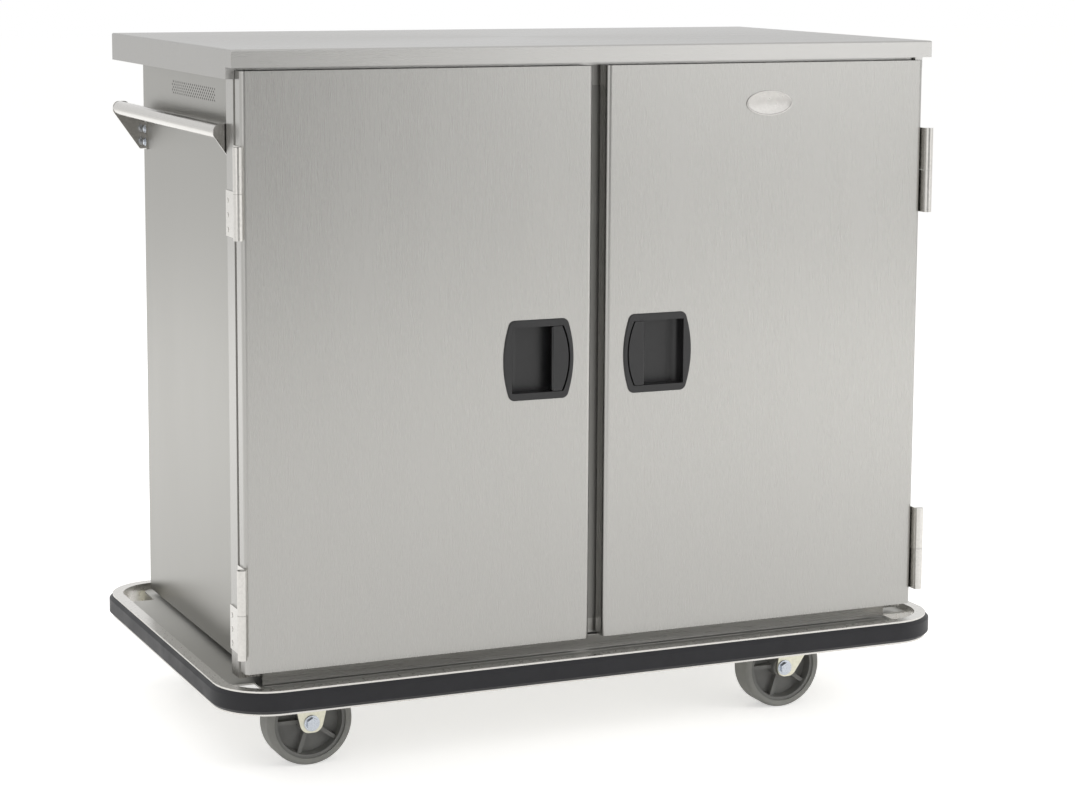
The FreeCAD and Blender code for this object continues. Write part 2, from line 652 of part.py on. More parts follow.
def build_deck():
    """The deck sheet: a cross that meets the rail on four sides, with cut-away corners and caster openings."""
    body = new_body("deck_sheet")
    corners = []
    for sx, sy, swap in ((1, -1, True), (1, 1, False), (-1, 1, True), (-1, -1, False)):
        far = (f"{sx} * deck_x", f"{sy} * (deck_y - notch_depth)")
        inner = (f"{sx} * (deck_x - notch_length)", f"{sy} * (deck_y - notch_depth)")
        end = (f"{sx} * (deck_x - notch_length)", f"{sy} * deck_y", "notch_round")
        corners += [end, inner, far] if swap else [far, inner, end]
    add_slab(body, "sheet", "XY", "deck_height - deck_sheet", "deck_sheet", [corners])
    opening = "swivel_reach + caster_clearance"
    leg = "fork_outer + caster_clearance"
    crown = "fork_crown / 2 + caster_clearance"
    openings = []
    for sy in ("-1", "1"):
        openings.append(("swivel_caster_x", f"{sy} * caster_y", opening))
        openings.append(rectangle(
            f"-fixed_caster_x - ({crown})", f"-fixed_caster_x + {crown}",
            f"{sy} * caster_y - ({leg})", f"{sy} * caster_y + {leg}",
        ))
    cut_slab(body, "caster_openings", "XY", "deck_height - deck_sheet", "deck_sheet", openings)


def build_bolster(label, x):
    """A hat channel across the deck that carries a pair of casters and the cabinet."""
    body = new_body(label)
    half = "bolster_width / 2"
    low = "deck_height"
    section = [
        (f"{x} - {half} - bolster_foot", low),
        (f"{x} - {half} - bolster_foot", f"{low} + bolster_sheet"),
        (f"{x} - {half}", f"{low} + bolster_sheet"),
        (f"{x} - {half}", "floor_height"),
        (f"{x} + {half}", "floor_height"),
        (f"{x} + {half}", f"{low} + bolster_sheet"),
        (f"{x} + {half} + bolster_foot", f"{low} + bolster_sheet"),
        (f"{x} + {half} + bolster_foot", low),
        (f"{x} + {half} - bolster_sheet", low),
        (f"{x} + {half} - bolster_sheet", "floor_height - bolster_sheet"),
        (f"{x} - {half} + bolster_sheet", "floor_height - bolster_sheet"),
        (f"{x} - {half} + bolster_sheet", low),
    ]
    start = "post_front + post_wall"
    add_slab(body, "channel", "XZ", start, f"back_y - panel_flange - ({start})", [section])


# ---------------------------------------------------------------------------------------------------------
# Cabinet
# ---------------------------------------------------------------------------------------------------------
def build_side_panel(label, side):
    """A side panel with its lower edge turned in and a band of staggered vent slots."""
    body = new_body(label)
    outer = "side_x"
    inner = "side_x - panel_sheet"
    section = [
        (outer, "panel_bottom"),
        (outer, "body_top"),
        (inner, "body_top"),
        (inner, "panel_bottom + panel_sheet"),
        ("side_x - panel_flange", "panel_bottom + panel_sheet"),
        ("side_x - panel_flange", "panel_bottom"),
    ]
    add_slab(body, "sheet", "XZ", "post_back", "back_y - panel_sheet - (post_back)", [sided(side, section)])
    start = inner if side > 0 else "-side_x"
    for name, row, count, shift in (
        ("vent", "0", "ceil(vent_rows / 2)", "0"),
        ("vent_between", "1", "floor(vent_rows / 2)", "vent_pitch / 2"),
    ):
        y = f"post_back + vent_start + {shift}"
        top = f"cover_top - vent_drop - ({row}) * vent_row_pitch"
        slot = rectangle(y, f"{y} + vent_slot_width", f"{top} - vent_slot_height", top)
        cut = cut_slab(body, name, "YZ", start, "panel_sheet", [slot])
        transform = body.newObject("PartDesign::MultiTransform", name + "_rows")
        along = body.newObject("PartDesign::LinearPattern", name + "_along")
        down = body.newObject("PartDesign::LinearPattern", name + "_down")
        along.Direction = (origin_part(body, "Y_Axis"), [""])
        bind(along, "Length", "vent_pitch * (vent_columns - 1)")
        bind(along, "Occurrences", "vent_columns")
        down.Direction = (origin_part(body, "Z_Axis"), [""])
        down.Reversed = True
        bind(down, "Length", f"2 * vent_row_pitch * ({count} - 1)")
        bind(down, "Occurrences", count)
        transform.Originals = [cut]
        transform.Transformations = [along, down]
        body.Tip = transform
        doc.recompute()


def build_back_panel():
    """The back panel, with its lower edge turned in."""
    body = new_body("back_panel")
    inner = "back_y - panel_sheet"
    section = [
        ("back_y", "panel_bottom"),
        ("back_y", "body_top"),
        (inner, "body_top"),
        (inner, "panel_bottom + panel_sheet"),
        ("back_y - panel_flange", "panel_bottom + panel_sheet"),
        ("back_y - panel_flange", "panel_bottom"),
    ]
    add_slab(body, "sheet", "YZ", "-side_x", "2 * (side_x)", [section])
    notch = rectangle(
        "side_x - panel_flange", "side_x", "panel_bottom", "panel_bottom + panel_sheet")
    for name, side in (("left_corner", -1), ("right_corner", 1)):
        cut_slab(
            body, name, "XZ", "back_y - panel_flange", "panel_flange - panel_sheet", [sided(side, notch)])


def build_flat(label, low, inner_front):
    """A level sheet between the cabinet's walls: the floor or the ceiling."""
    body = new_body(label)
    half = "side_x - panel_sheet"
    outline = rectangle(f"-({half})", half, inner_front, "back_y - panel_sheet")
    add_slab(body, "sheet", "XY", low, "panel_sheet", [outline])


def build_post(label, side):
    """A front post: a rectangular tube beside a door opening."""
    body = new_body(label)
    outer = rectangle("side_x", "frame_x", "post_front", "post_back")
    inner = rectangle(
        "side_x + post_wall", "frame_x - post_wall", "post_front + post_wall", "post_back - post_wall")
    add_slab(
        body, "tube", "XY", "frame_bottom", "body_top - frame_bottom", [sided(side, outer), sided(side, inner)])


def build_sill():
    """The sill under the doors: a front face and a ledge folded back over the floor sheet."""
    body = new_body("sill_rail")
    front = "post_front"
    section = [
        (front, "frame_bottom"),
        (front, "sill_top"),
        ("post_back", "sill_top"),
        ("post_back", "floor_top"),
        ("post_back - post_wall", "floor_top"),
        ("post_back - post_wall", "sill_top - post_wall"),
        (f"{front} + post_wall", "sill_top - post_wall"),
        (f"{front} + post_wall", "frame_bottom"),
    ]
    add_slab(body, "sheet", "YZ", "-side_x", "2 * (side_x)", [section])


def build_header():
    """The header over the doors: a rectangular tube between the posts."""
    body = new_body("header_rail")
    outer = rectangle("post_front", "post_back", "header_bottom", "body_top")
    inner = rectangle(
        "post_front + post_wall", "post_back - post_wall",
        "header_bottom + post_wall", "body_top - post_wall")
    add_slab(body, "tube", "YZ", "-side_x", "2 * (side_x)", [outer, inner])


def build_mullion():
    """The centre post that both doors close on, slotted on each side for a latch bolt."""
    body = new_body("center_mullion")
    outer = rectangle("-mullion_x", "mullion_x", "post_front", "post_back")
    inner = rectangle(
        "-mullion_x + post_wall", "mullion_x - post_wall", "post_front + post_wall", "post_back - post_wall")
    add_slab(body, "tube", "XY", "sill_top", "header_bottom - (sill_top)", [outer, inner])
    half_thick = "bolt_thick / 2 + bolt_fit"
    half_tall = "bolt_tall / 2 + bolt_fit"
    slot = rectangle(
        f"bolt_y - ({half_thick})", f"bolt_y + {half_thick}",
        f"latch_height - ({half_tall})", f"latch_height + {half_tall}")
    cut_slab(body, "strike_slots", "YZ", "-mullion_x", "mullion_width", [slot])


def add_runners(body, side, wall, name):
    """Uprights and tray runners on a wall; the side is where they stand out to."""
    reach = f"{wall} + {side} * upright_depth"
    start = "runner_start"
    low = "floor_top"
    for place_name, y in (
        ("front", f"{start} + upright_inset"),
        ("middle", f"{start} + (runner_length - upright_width) / 2"),
        ("back", f"{start} + runner_length - upright_inset - upright_width"),
    ):
        inner = f"{reach} - {side} * runner_sheet"
        channel = [
            (wall, y),
            (reach, y),
            (reach, f"{y} + upright_width"),
            (wall, f"{y} + upright_width"),
            (wall, f"{y} + upright_width - runner_sheet"),
            (inner, f"{y} + upright_width - runner_sheet"),
            (inner, f"{y} + runner_sheet"),
            (wall, f"{y} + runner_sheet"),
        ]
        add_slab(
            body, f"{name}_{place_name}_upright", "XY", low, "ceiling_z - (floor_top)", [channel])
    level = "floor_top + level_first"
    section = [
        (reach, level),
        (f"{reach} + {side} * runner_ledge", level),
        (f"{reach} + {side} * runner_ledge", f"{level} + runner_sheet"),
        (f"{reach} + {side} * runner_sheet", f"{level} + runner_sheet"),
        (f"{reach} + {side} * runner_sheet", f"{level} + runner_height"),
        (reach, f"{level} + runner_height"),
    ]
    runner = add_slab(body, f"{name}_runner", "XZ", start, "runner_length", [section])
    in_line(body, runner, f"{name}_levels", "Z_Axis", "level_span", "level_count")


def build_rack(label, side):
    """A rack of tray runners on the inside of a side panel."""
    body = new_body(label)
    wall = "side_x - panel_sheet" if side > 0 else "-(side_x - panel_sheet)"
    add_runners(body, -side, wall, "rack")


def build_partition():
    """The upright sheet between the two compartments, with tray runners on both faces."""
    body = new_body("center_partition")
    half = "panel_sheet / 2"
    outline = rectangle(f"-{half}", half, "post_back", "back_y - panel_sheet")
    add_slab(body, "sheet", "XY", "floor_top", "ceiling_z - (floor_top)", [outline])
    add_runners(body, -1, f"-{half}", "left")
    add_runners(body, 1, half, "right")


def build_cover():
    """The top cover: a folded pan whose side edges start behind the doors."""
    body = new_body("top_cover")
    half = "frame_x + cover_overhang"
    front = "door_front - cover_lip"
    back = "back_y + cover_back"
    low = "cover_top - skirt_height"
    add_slab(body, "block", "XY", low, "skirt_height", [rectangle(f"-({half})", half, front, back)])
    step = rectangle(front, f"{front} + skirt_start", low, "cover_top - fascia_height")
    cut_slab(body, "door_notch", "YZ", f"-({half})", f"2 * ({half})", [step])

    def folded(edge):
        box = edge.BoundBox
        return near(box.ZMin, "cover_top") and near(box.ZMax, "cover_top")

    round_edges(body, "folds", "cover_radius", folded)
    section = [
        (f"{front} + cover_sheet", "cover_top - fascia_height"),
        (f"{front} + cover_sheet", "body_top"),
        (f"{back} - cover_sheet", "body_top"),
        (f"{back} - cover_sheet", low),
        (f"{front} + skirt_start + cover_sheet", low),
        (f"{front} + skirt_start + cover_sheet", "cover_top - fascia_height"),
    ]
    cut_slab(
        body, "inside", "YZ", f"-({half}) + cover_sheet", f"2 * ({half}) - 2 * cover_sheet", [section])
    return_plate = rectangle("-frame_x", "frame_x", low, "cover_top - fascia_height")
    cut_slab(body, "opening", "XZ", f"{front} + skirt_start", "cover_sheet", [return_plate])


# ---------------------------------------------------------------------------------------------------------
# Push handle
# ---------------------------------------------------------------------------------------------------------
def build_handle():
    """The tube along the left side."""
    body = new_body("push_handle_tube")
    start = "bracket_front + bracket_sheet"
    center = ("-handle_x", "handle_height")
    loops = [center + ("handle_radius",), center + ("handle_radius - handle_wall",)]
    add_slab(body, "tube", "XZ", start, f"bracket_back - ({start})", loops)


def build_bracket(label, start, flange_start):
    """A gusset that carries one end of the tube, with a flange turned along the side panel."""
    body = new_body(label)
    wall = "-side_x"
    tube = "-handle_x"
    outline = [
        (wall, "handle_height - bracket_low", "bracket_heel"),
        (f"{wall} - bracket_toe", "handle_height - bracket_low", "bracket_round"),
        (f"{tube} - handle_radius", "handle_height - bracket_brow", "bracket_brow"),
        (f"{tube} - handle_radius", "handle_height + handle_radius", "bracket_crown"),
        (f"{tube} + handle_radius", "handle_height + handle_radius", "bracket_crown"),
        (wall, "handle_height - bracket_high", "bracket_heel"),
    ]
    add_slab(body, "gusset", "XZ", start, "bracket_sheet", [outline])
    flange = rectangle(
        f"{wall} - bracket_sheet", wall, "handle_height - bracket_low", "handle_height - bracket_high",
        "bracket_heel")
    add_slab(body, "flange", "XZ", flange_start, "bracket_foot", [flange])


# ---------------------------------------------------------------------------------------------------------
# Hinges
# ---------------------------------------------------------------------------------------------------------
def build_frame_hinge(label, side, low):
    """The lower half of a lift-off hinge: a leaf on the post's side, a knuckle and the pin."""
    body = new_body(label)
    half = "hinge_length / 2 - hinge_washer / 2"
    leaf = rectangle("frame_x", "frame_x + leaf_sheet", "hinge_y", "post_back - leaf_back")
    add_slab(body, "leaf", "XY", low, half, [sided(side, leaf)])
    knuckle = (f"{side} * hinge_x", "hinge_y", "knuckle_radius")
    add_slab(body, "knuckle", "XY", low, half, [knuckle])
    pin = (f"{side} * hinge_x", "hinge_y", "hinge_pin_radius")
    add_slab(body, "pin", "XY", low, "hinge_length - knuckle_radius", [pin])
    round_edges(body, "pin_bevel", "pin_point", lambda edge: near(
        edge.BoundBox.ZMin, f"{low} + hinge_length - knuckle_radius"), "PartDesign::Chamfer")


def build_door_hinge(label, side, low):
    """The upper half of a lift-off hinge: a leaf on the door's edge and a knuckle that turns on the pin."""
    body = new_body(label)
    start = f"{low} + hinge_length / 2 + hinge_washer / 2"
    half = "hinge_length / 2 - hinge_washer / 2"
    leaf = rectangle(
        "door_outer", "door_outer + leaf_sheet", "hinge_y", "door_front + door_leaf_length")
    add_slab(body, "leaf", "XY", start, half, [sided(side, leaf)])
    add_slab(body, "knuckle", "XY", start, half, [(f"{side} * hinge_x", "hinge_y", "knuckle_radius")])
    bore = (f"{side} * hinge_x", "hinge_y", "hinge_pin_radius + hinge_fit")
    cut_slab(body, "bore", "XY", start, f"{half} - knuckle_radius + pin_spare", [bore])


# ---------------------------------------------------------------------------------------------------------
# Doors
# ---------------------------------------------------------------------------------------------------------
def build_door_pan(label, side):
    """A door's outer pan: rounded upright edges, a flange turned in round its back and a latch opening."""
    body = new_body(label)
    outer = rectangle("door_inner", "door_outer", "door_front", "door_back", "door_radius")
    add_slab(body, "block", "XY", "door_bottom", "door_height", [sided(side, outer)])
    cavity = rectangle(
        "door_inner + door_sheet", "door_outer - door_sheet",
        "door_front + door_sheet", "door_back - door_sheet", "door_radius - door_sheet")
    cut_slab(
        body, "cavity", "XY", "door_bottom + door_sheet", "door_height - 2 * door_sheet",
        [sided(side, cavity)])
    opening = rectangle(
        "door_inner + door_return", "door_outer - door_return",
        "door_bottom + door_return", "door_top - door_return")
    cut_slab(body, "back_opening", "XZ", "door_back - door_sheet", "door_sheet", [sided(side, opening)])
    hole = new_sketch(body, "latch_opening_outline", "XZ", "door_front")
    add_bowed(
        hole, f"{side} * latch_x", "latch_height", "2 * (hole_end)", "2 * (hole_mid)", "hole_tall",
        "latch_corner - latch_border")
    cut_sketch(body, hole, "latch_opening", "XZ", "door_sheet")


def build_door_liner(label, side):
    """A door's inner sheet with a raised bead, and the bolt case on it."""
    body = new_body(label)
    low_y = "door_back - 2 * door_sheet"
    edge = "2 * door_sheet"
    outline = rectangle(
        f"door_inner + {edge} + door_radius", f"door_outer - {edge} - door_radius",
        f"door_bottom + {edge}", f"door_top - {edge}")
    add_slab(body, "sheet", "XZ", low_y, "door_sheet", [sided(side, outline)])
    inset = "bead_inset + bead_width"
    bead = rectangle(
        "door_inner + bead_inset", "door_outer - bead_inset",
        "door_bottom + bead_inset", "door_top - bead_inset", "bead_corner + bead_width")
    field = rectangle(
        f"door_inner + {inset}", f"door_outer - ({inset})",
        f"door_bottom + {inset}", f"door_top - ({inset})", "bead_corner")
    add_slab(
        body, "bead", "XZ", "door_back - door_sheet", "bead_rise", [sided(side, bead), sided(side, field)])
    half_tall = "case_tall / 2"
    case = rectangle(
        "case_x", "case_x + case_length",
        f"latch_height - {half_tall}", f"latch_height + {half_tall}")
    add_slab(
        body, "case", "XZ", "door_back - door_sheet", "case_depth + door_sheet", [sided(side, case)])
    half_thick = "bolt_thick / 2 + bolt_fit"
    half_bolt = "bolt_tall / 2 + bolt_fit"
    way = rectangle(
        f"bolt_y - ({half_thick})", f"bolt_y + {half_thick}",
        f"latch_height - ({half_bolt})", f"latch_height + {half_bolt}")
    start = "case_x" if side > 0 else "-(case_x + case_length)"
    cut_slab(body, "bolt_way", "YZ", start, "case_length", [way])


def build_door_seal(label, side):
    """The rubber seal round a door's back."""
    body = new_body(label)
    outer = rectangle(
        "door_inner + door_return", "door_outer - door_return",
        "door_bottom + door_return", "door_top - door_return")
    inset = "door_return + seal_width"
    inner = rectangle(
        f"door_inner + {inset}", f"door_outer - ({inset})",
        f"door_bottom + {inset}", f"door_top - ({inset})")
    add_slab(
        body, "strip", "XZ", "door_back - door_sheet", "door_sheet + seal_gap - seal_clearance",
        [sided(side, outer), sided(side, inner)])


# ---------------------------------------------------------------------------------------------------------
# Latches
# ---------------------------------------------------------------------------------------------------------
def build_latch_housing(label, side):
    """The recessed latch: a bowed plate, a finger well with a curved floor and the paddle's pin."""
    body = new_body(label)
    front = "door_front - latch_rim"
    plate = new_sketch(body, "plate_outline", "XZ", front)
    add_bowed(
        plate, f"{side} * latch_x", "latch_height", "latch_end_width", "latch_wide", "latch_tall",
        "latch_corner")
    raise_sketch(body, plate, "plate", "XZ", "latch_rim")

    def front_rim(edge):
        box = edge.BoundBox
        return near(box.YMin, front) and near(box.YMax, front)

    round_edges(body, "soft_edge", "latch_soft", front_rim)
    shell = new_sketch(body, "shell_outline", "XZ", "door_front")
    add_bowed(
        shell, f"{side} * latch_x", "latch_height", "2 * (hole_end)", "2 * (hole_mid)", "hole_tall",
        "latch_corner - latch_border")
    raise_sketch(body, shell, "shell", "XZ", "latch_depth + latch_wall")
    well = [
        ("lip_x - lip_depth", front),
        ("well_x", front),
        ("well_x", "door_front + latch_depth", "well_sweep"),
        ("lip_x - lip_depth", "door_front + latch_depth"),
    ]
    cut_slab(body, "well", "XY", "latch_height - well_tall / 2", "well_tall", [sided(side, well)])
    recess = new_sketch(body, "paddle_recess_outline", "XZ", front)
    add_half_bowed(
        recess, f"{side} * (lip_x)", f"{side} * (latch_x - hole_end + latch_wall)",
        f"{side} * (latch_x - hole_mid + latch_wall)", "latch_height", "well_tall")
    cut_sketch(body, recess, "paddle_recess", "XZ", "recess_depth + latch_rim")
    pin = (f"{side} * pin_x", "pin_y", "pin_radius")
    add_slab(body, "pin", "XY", "latch_height - well_tall / 2", "well_tall", [pin])


def build_paddle(label, side):
    """The paddle: a plate that follows the bowed rim, a lip bent into the well and a barrel on the pin."""
    body = new_body(label)
    plate = new_sketch(body, "plate_outline", "XZ", "paddle_face")
    inset = "latch_wall + paddle_gap"
    add_half_bowed(
        plate, f"{side} * (lip_x)", f"{side} * (latch_x - hole_end + {inset})",
        f"{side} * (latch_x - hole_mid + {inset})", "latch_height", "well_tall - 2 * paddle_end_gap")
    raise_sketch(body, plate, "plate", "XZ", "paddle_sheet")
    half = "well_tall / 2 - paddle_end_gap"
    lip = rectangle("lip_x - paddle_sheet", "lip_x", "paddle_face", "paddle_face + lip_depth")
    add_slab(body, "lip", "XY", f"latch_height - ({half})", f"2 * ({half})", [sided(side, lip)])
    low = "latch_height - barrel_tall / 2"
    barrel = (f"{side} * pin_x", "pin_y", "barrel_radius")
    add_slab(body, "barrel", "XY", low, "barrel_tall", [barrel])
    bore = (f"{side} * pin_x", "pin_y", "pin_radius + pin_fit")
    cut_slab(body, "bore", "XY", low, "barrel_tall", [bore])


def build_bolt(label, side):
    """The latch bolt, bevelled on the side that meets the centre post first."""
    body = new_body(label)
    back = "bolt_y + bolt_thick / 2"
    front = "bolt_y - bolt_thick / 2"
    outline = [
        ("bolt_x", front),
        ("bolt_x + bolt_length", front),
        ("bolt_x + bolt_length", back),
        ("bolt_x + bolt_throw", back),
        ("bolt_x", f"{front} + bolt_nose"),
    ]
    half = "bolt_tall / 2"
    add_slab(body, "bolt", "XY", f"latch_height - {half}", "bolt_tall", [sided(side, outline)])


# ---------------------------------------------------------------------------------------------------------
# Casters
# ---------------------------------------------------------------------------------------------------------
def add_top_plate(body):
    """The caster's top plate."""
    outline = rectangle(
        "-plate_length / 2", "plate_length / 2", "-plate_depth / 2", "plate_depth / 2", "plate_corner")
    add_slab(body, "top_plate", "XY", "plate_bottom", "plate_sheet", [outline])


def build_fork(label, x, y, top, axle_x, with_plate):
    """A U-shaped fork; its frame stands on the floor under the caster's centre."""
    body = new_body(label)
    half = "fork_crown / 2"
    toe = "fork_toe"
    outline = [
        (f"-{half}", top),
        (f"-{half}", f"{top} - fork_shoulder", "fork_neck"),
        (f"{axle_x} - {toe}", f"wheel_radius - {toe}", "fork_toe_round"),
        (f"{axle_x} + {toe}", f"wheel_radius - {toe}", "fork_toe_round"),
        (half, f"{top} - fork_shoulder", "fork_neck"),
        (half, top),
    ]
    add_slab(body, "fork", "XZ", "-fork_outer", "2 * (fork_outer)", [outline])
    gap = rectangle(
        f"-{half} - swivel_trail", f"{half} + fork_toe", "0", f"{top} - fork_sheet")
    cut_slab(body, "wheel_gap", "XZ", "-fork_inner", "2 * (fork_inner)", [gap])
    hole = (axle_x, "wheel_radius", "axle_radius + axle_fit")
    cut_slab(body, "axle_hole", "XZ", "-fork_outer", "2 * (fork_outer)", [hole])
    if with_plate:
        add_top_plate(body)
    else:
        disc = ("0", "0", "race_radius")
        add_slab(body, "race_seat", "XY", f"{top} - fork_sheet", "fork_sheet", [disc])
        bore = ("0", "0", "kingpin_radius + kingpin_fit")
        cut_slab(body, "kingpin_bore", "XY", f"{top} - fork_sheet", "fork_sheet", [bore])
    place(body, x, y, "0")


def build_swivel_base(label, x, y):
    """The fixed half of a swivel caster: top plate, ball race and kingpin."""
    body = new_body(label)
    add_top_plate(body)
    section = [
        ("0", "swivel_crown - fork_sheet - race_gap - kingpin_head_height"),
        ("kingpin_head", "swivel_crown - fork_sheet - race_gap - kingpin_head_height"),
        ("kingpin_head", "swivel_crown - fork_sheet - race_gap"),
        ("kingpin_radius", "swivel_crown - fork_sheet - race_gap"),
        ("kingpin_radius", "race_bottom"),
        ("race_radius - race_bevel", "race_bottom"),
        ("race_radius", "race_bottom + race_bevel"),
        ("race_radius", "plate_bottom - race_bevel"),
        ("race_radius - race_bevel", "plate_bottom"),
        ("0", "plate_bottom"),
    ]
    revolve(body, "race", "XZ", "V_Axis", section)
    place(body, x, y, "0")


def build_axle(label, x, y):
    """An axle bolt with a hexagon head and nut, in its own frame about the axle."""
    body = new_body(label)
    add_slab(
        body, "shank", "XZ", "-fork_outer", "2 * (fork_outer)", [("0", "0", "axle_radius")])
    flat = "axle_head / 2"
    for name, start in (("head", "-fork_outer - axle_head_height"), ("nut", "fork_outer")):
        corners = []
        for step in range(6):
            turn = 30 + 60 * step
            corners.append((f"{flat} / cos(30) * cos({turn})", f"{flat} / cos(30) * sin({turn})"))
        add_slab(body, name, "XZ", start, "axle_head_height", [corners])
    place(body, x, y, "wheel_radius")


def build_wheel_core(label, x, y):
    """A moulded core: rim, web, hub and ribs, turned about the axle."""
    body = new_body(label)
    half_hub = "fork_inner - hub_gap"
    half_rim = "wheel_width / 2 - rim_step"
    bore = "axle_radius + axle_fit"
    rim_in = "core_radius - rim_thickness"
    half_web = "web_thickness / 2"
    draft = "rim_step / 2"
    section = [
        (f"-({half_hub})", bore),
        (f"-({half_hub})", "hub_radius"),
        (f"-{half_web}", f"hub_radius + {draft}"),
        (f"-{half_web}", f"{rim_in} - {draft}"),
        (f"-({half_rim})", rim_in),
        (f"-({half_rim})", "core_radius"),
        (half_rim, "core_radius"),
        (half_rim, rim_in),
        (half_web, f"{rim_in} - {draft}"),
        (half_web, f"hub_radius + {draft}"),
        (half_hub, "hub_radius"),
        (half_hub, bore),
    ]
    revolve(body, "turning", "YZ", "H_Axis", section)
    rib = rectangle(
        f"-({rim_in})", "-hub_radius", "-spoke_width / 2", "spoke_width / 2")
    spoke = add_slab(body, "rib", "XZ", "-spoke_depth / 2", "spoke_depth", [rib])
    polar(body, spoke, "Y_Axis", "spoke_count")
    place(body, x, y, "wheel_radius")


def build_tread(label, x, y):
    """The rubber tread round the core, with rounded shoulders."""
    body = new_body(label)
    half = "wheel_width / 2"
    section = [
        (f"-{half}", "core_radius"),
        (f"-{half}", "wheel_radius", "tread_round"),
        (half, "wheel_radius", "tread_round"),
        (half, "core_radius"),
    ]
    revolve(body, "tyre", "YZ", "H_Axis", section)
    place(body, x, y, "wheel_radius")


# ---------------------------------------------------------------------------------------------------------
# The cart
# ---------------------------------------------------------------------------------------------------------
build_rail()
build_bumper()
build_deck()
build_bolster("fixed_caster_bolster", "-fixed_caster_x")
build_bolster("swivel_caster_bolster", "swivel_caster_x")

build_side_panel("left_side_panel", -1)
build_side_panel("right_side_panel", 1)
build_back_panel()
build_flat("cabinet_floor", "floor_height", "post_front + post_wall")
build_flat("ceiling_panel", "ceiling_z", "post_back")
build_post("left_front_post", -1)
build_post("right_front_post", 1)
build_sill()
build_header()
build_mullion()
build_partition()
build_rack("left_tray_rack", -1)
build_rack("right_tray_rack", 1)
build_cover()

build_handle()
build_bracket("front_handle_bracket", "bracket_front", "bracket_front")
build_bracket("rear_handle_bracket", "bracket_back", "back_y - bracket_foot")

for side_name, side in (("left", -1), ("right", 1)):
    for hinge_name, low in (("lower", "hinge_lower"), ("upper", "hinge_upper")):
        build_frame_hinge(f"{side_name}_{hinge_name}_frame_hinge", side, low)
        build_door_hinge(f"{side_name}_{hinge_name}_door_hinge", side, low)
    build_door_pan(f"{side_name}_door_pan", side)
    build_door_liner(f"{side_name}_door_liner", side)
    build_door_seal(f"{side_name}_door_seal", side)
    build_latch_housing(f"{side_name}_latch_housing", side)
    build_paddle(f"{side_name}_latch_paddle", side)
    build_bolt(f"{side_name}_latch_bolt", side)

for end_name, end in (("front", -1), ("rear", 1)):
    y = f"{end} * caster_y"
    build_fork(f"{end_name}_fixed_fork", "-fixed_caster_x", y, "plate_bottom", "0", True)
    build_fork(f"{end_name}_swivel_fork", "swivel_caster_x", y, "swivel_crown", "-swivel_trail", False)
    build_swivel_base(f"{end_name}_swivel_base", "swivel_caster_x", y)
    for kind, x in (("fixed", "-fixed_caster_x"), ("swivel", "swivel_caster_x - swivel_trail")):
        build_axle(f"{end_name}_{kind}_axle", x, y)
        build_wheel_core(f"{end_name}_{kind}_wheel_core", x, y)
        build_tread(f"{end_name}_{kind}_wheel_tread", x, y)

doc.recompute()

# ---------------------------------------------------------------------------------------------------------
# Every object is looked at before any file is written.
# ---------------------------------------------------------------------------------------------------------
for item in doc.Objects:
    if "Invalid" in item.State or "Error" in item.State:
        raise ValueError(f"{item.Label}: {item.State}")

bodies = [item for item in doc.Objects if item.TypeId == "PartDesign::Body"]
for body in bodies:
    if body.Shape.isNull() or not body.Shape.isValid():
        raise ValueError(f"{body.Label}: no valid shape")
    if len(body.Shape.Solids) != 1:
        raise ValueError(f"{body.Label}: {len(body.Shape.Solids)} solids")

os.makedirs("parts", exist_ok=True)
for body in bodies:
    body.Shape.exportStep(f"parts/{body.Label}.step")
print(f"{len(bodies)} pieces written")
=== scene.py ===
# %% [markdown]
# # An enclosed meal tray cart
# The CAD model gives every load-bearing piece of the cart at its real size. This lesson dresses it: it
# gives each metal, rubber and plastic its own surface, adds the small fasteners and plates that a
# drawing leaves out, and sets up a plain studio. Everything is in metres, in the cart's own frame: X
# along the doors, Y from the doors to the back, Z up, with the origin on the floor under the deck.

import math

import bpy
from mathutils import Matrix, Vector


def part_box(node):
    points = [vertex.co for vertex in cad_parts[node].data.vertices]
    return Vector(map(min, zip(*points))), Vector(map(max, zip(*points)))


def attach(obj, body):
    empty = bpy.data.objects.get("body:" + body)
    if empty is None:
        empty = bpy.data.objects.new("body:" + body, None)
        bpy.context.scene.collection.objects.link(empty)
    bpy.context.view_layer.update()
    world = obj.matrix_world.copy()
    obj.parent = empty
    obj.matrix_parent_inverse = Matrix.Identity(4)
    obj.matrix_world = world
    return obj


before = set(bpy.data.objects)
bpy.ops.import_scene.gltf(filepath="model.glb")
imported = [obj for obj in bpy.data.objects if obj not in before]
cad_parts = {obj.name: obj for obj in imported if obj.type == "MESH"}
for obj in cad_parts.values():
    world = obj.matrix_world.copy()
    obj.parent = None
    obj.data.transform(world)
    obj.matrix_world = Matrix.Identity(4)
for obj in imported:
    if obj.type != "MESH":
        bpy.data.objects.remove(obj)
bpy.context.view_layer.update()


# %% [markdown]
# ## Two helpers for materials
# Colours are written as sRGB hex, as a picker shows them, but shaders compute in linear light, so one
# function converts them. Another adds a node: it takes the node's settings and what feeds its inputs,
# so each material below reads as a short list of steps.

# %% Colour and node helpers
def linear(code, alpha=1.0):
    channels = [int(code[i:i + 2], 16) / 255 for i in (1, 3, 5)]
    return (*[c / 12.92 if c <= 0.04045 else ((c + 0.055) / 1.055) ** 2.4 for c in channels], alpha)


def add_node(tree, kind, inputs=None, **settings):
    node = tree.nodes.new(kind)
    for key, value in settings.items():
        setattr(node, key, value)
    for key, value in (inputs or {}).items():
        socket = node.inputs[key]
        if isinstance(value, bpy.types.NodeSocket):
            tree.links.new(value, socket)
        else:
            socket.default_value = value
    return node


